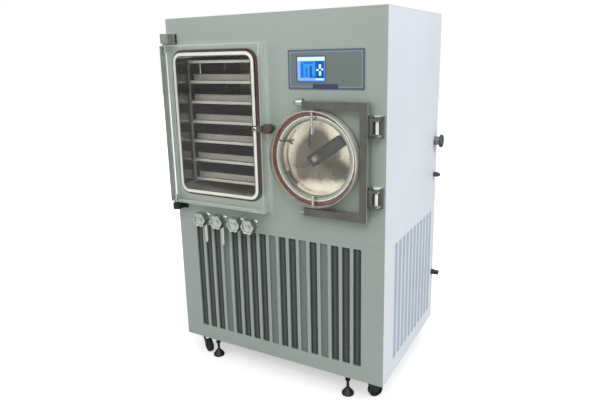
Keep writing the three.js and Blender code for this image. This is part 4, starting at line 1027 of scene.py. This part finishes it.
def stage():
    """A pale floor that keeps the shadow, and that goes over to plain white away from the machine."""
    reach = 14
    floor_mesh = bpy.data.meshes.new("floor")
    corners = [(-reach, -reach, 0), (reach, -reach, 0), (reach, reach, 0), (-reach, reach, 0)]
    floor_mesh.from_pydata(corners, [], [(0, 1, 2, 3)])
    floor = bpy.data.objects.new("floor", floor_mesh)
    bpy.context.scene.collection.objects.link(floor)
    look = Look("floor", Roughness=0.9, Specular_IOR_Level=0.1, Emission_Color=(1, 1, 1, 1))
    look.feed("Base Color", look.ramp(look.noise(3, 3), [(0.3, grey(0.7)), (0.7, grey(0.74))]))
    far = look.hypot(look.axis("X"), look.axis("Y"))
    glow_level = look.range(far, 0.5, 1.0, *WHITENING)
    seen = view_rays(look.tree, "Is Camera Ray", "Is Transmission Ray")
    look.feed("Emission Strength", look.math("MULTIPLY", seen, glow_level))
    floor_mesh.materials.append(look.mat)


def sky():
    """White where it is looked at, and softer in what the metal mirrors near the horizon."""
    world = bpy.data.worlds.new("studio")
    bpy.context.scene.world = world
    world.use_nodes = True
    tree = world.node_tree
    background = tree.nodes["Background"]

    way = tree.nodes.new("ShaderNodeSeparateXYZ")
    tree.links.new(tree.nodes.new("ShaderNodeTexCoord").outputs["Generated"], way.inputs[0])
    rise = tree.nodes.new("ShaderNodeMapRange")
    tree.links.new(way.outputs["Z"], rise.inputs["Value"])
    for name, value in (("From Min", 0.0), ("From Max", 0.8), ("To Min", HORIZON), ("To Max", 1.0)):
        rise.inputs[name].default_value = value
    in_mirror = view_rays(tree, "Is Glossy Ray")
    lighting = math_node(tree, "MULTIPLY", DIFFUSE_SKY, math_node(tree, "SUBTRACT", 1.0, in_mirror))
    mirrored = math_node(tree, "MULTIPLY", in_mirror, rise.outputs["Result"])
    indirect = math_node(tree, "MAXIMUM", lighting, mirrored)
    straight = view_rays(tree, "Is Camera Ray", "Is Transmission Ray")
    level = math_node(tree, "MAXIMUM", indirect, straight)
    tree.links.new(level, background.inputs["Strength"])
    background.inputs["Color"].default_value = (1, 1, 1, 1)


def softbox(name, place, target, width, height, power, color=(1, 1, 1)):
    """A soft lamp at a place in metres, turned to its target."""
    data = bpy.data.lights.new(name, "AREA")
    data.shape = "RECTANGLE"
    data.size, data.size_y = width, height
    data.energy = power
    data.color = color
    lamp = bpy.data.objects.new(name, data)
    bpy.context.scene.collection.objects.link(lamp)
    lamp.location = place
    lamp.rotation_euler = (Vector(target) - Vector(place)).to_track_quat("-Z", "Y").to_euler()


stage()
sky()
softbox("key", (1.3, -3.1, 3.8), (0.0, 0, 1.4), 3.2, 2.4, 73)
softbox("fill", (-1.4, -2.6, 2.3), (-0.4, 0, 1.3), 1.6, 1.6, 15)
softbox("rear", (-1.6, 3.0, 2.6), (-0.3, 0.3, 0.8), 1.6, 1.6, 22)
softbox("side", (3.4, 0.3, 3.4), (0.5, 0, 1.5), 2.4, 2.4, 76, (0.97, 0.98, 1))
softbox("overhead", (0, -0.3, 4.2), (0, 0, 0.8), 3, 3, 14)

# The camera is fitted to the cabinet's corners in the photograph.
camera_data = bpy.data.cameras.new("photo_view")
camera_data.sensor_width = 36
camera_data.lens = 32.43
camera_data.shift_x = 0.0033
camera_data.shift_y = -0.028
camera_data.clip_end = 60
camera = bpy.data.objects.new("photo_view", camera_data)
bpy.context.scene.collection.objects.link(camera)
right = Vector((0.87439, 0.48469, -0.02261))
up = -Vector((0.09370, -0.21440, -0.97224))
back = -Vector((-0.47608, 0.84800, -0.23288))
rotation = Matrix((right, up, back)).transposed()
camera.matrix_world = Matrix.Translation(at(1159.8, -1830.4, 1402.5)) @ rotation.to_4x4()
bpy.context.scene.camera = camera
bpy.context.scene.view_settings.view_transform = "Standard"

bpy.context.view_layer.update()
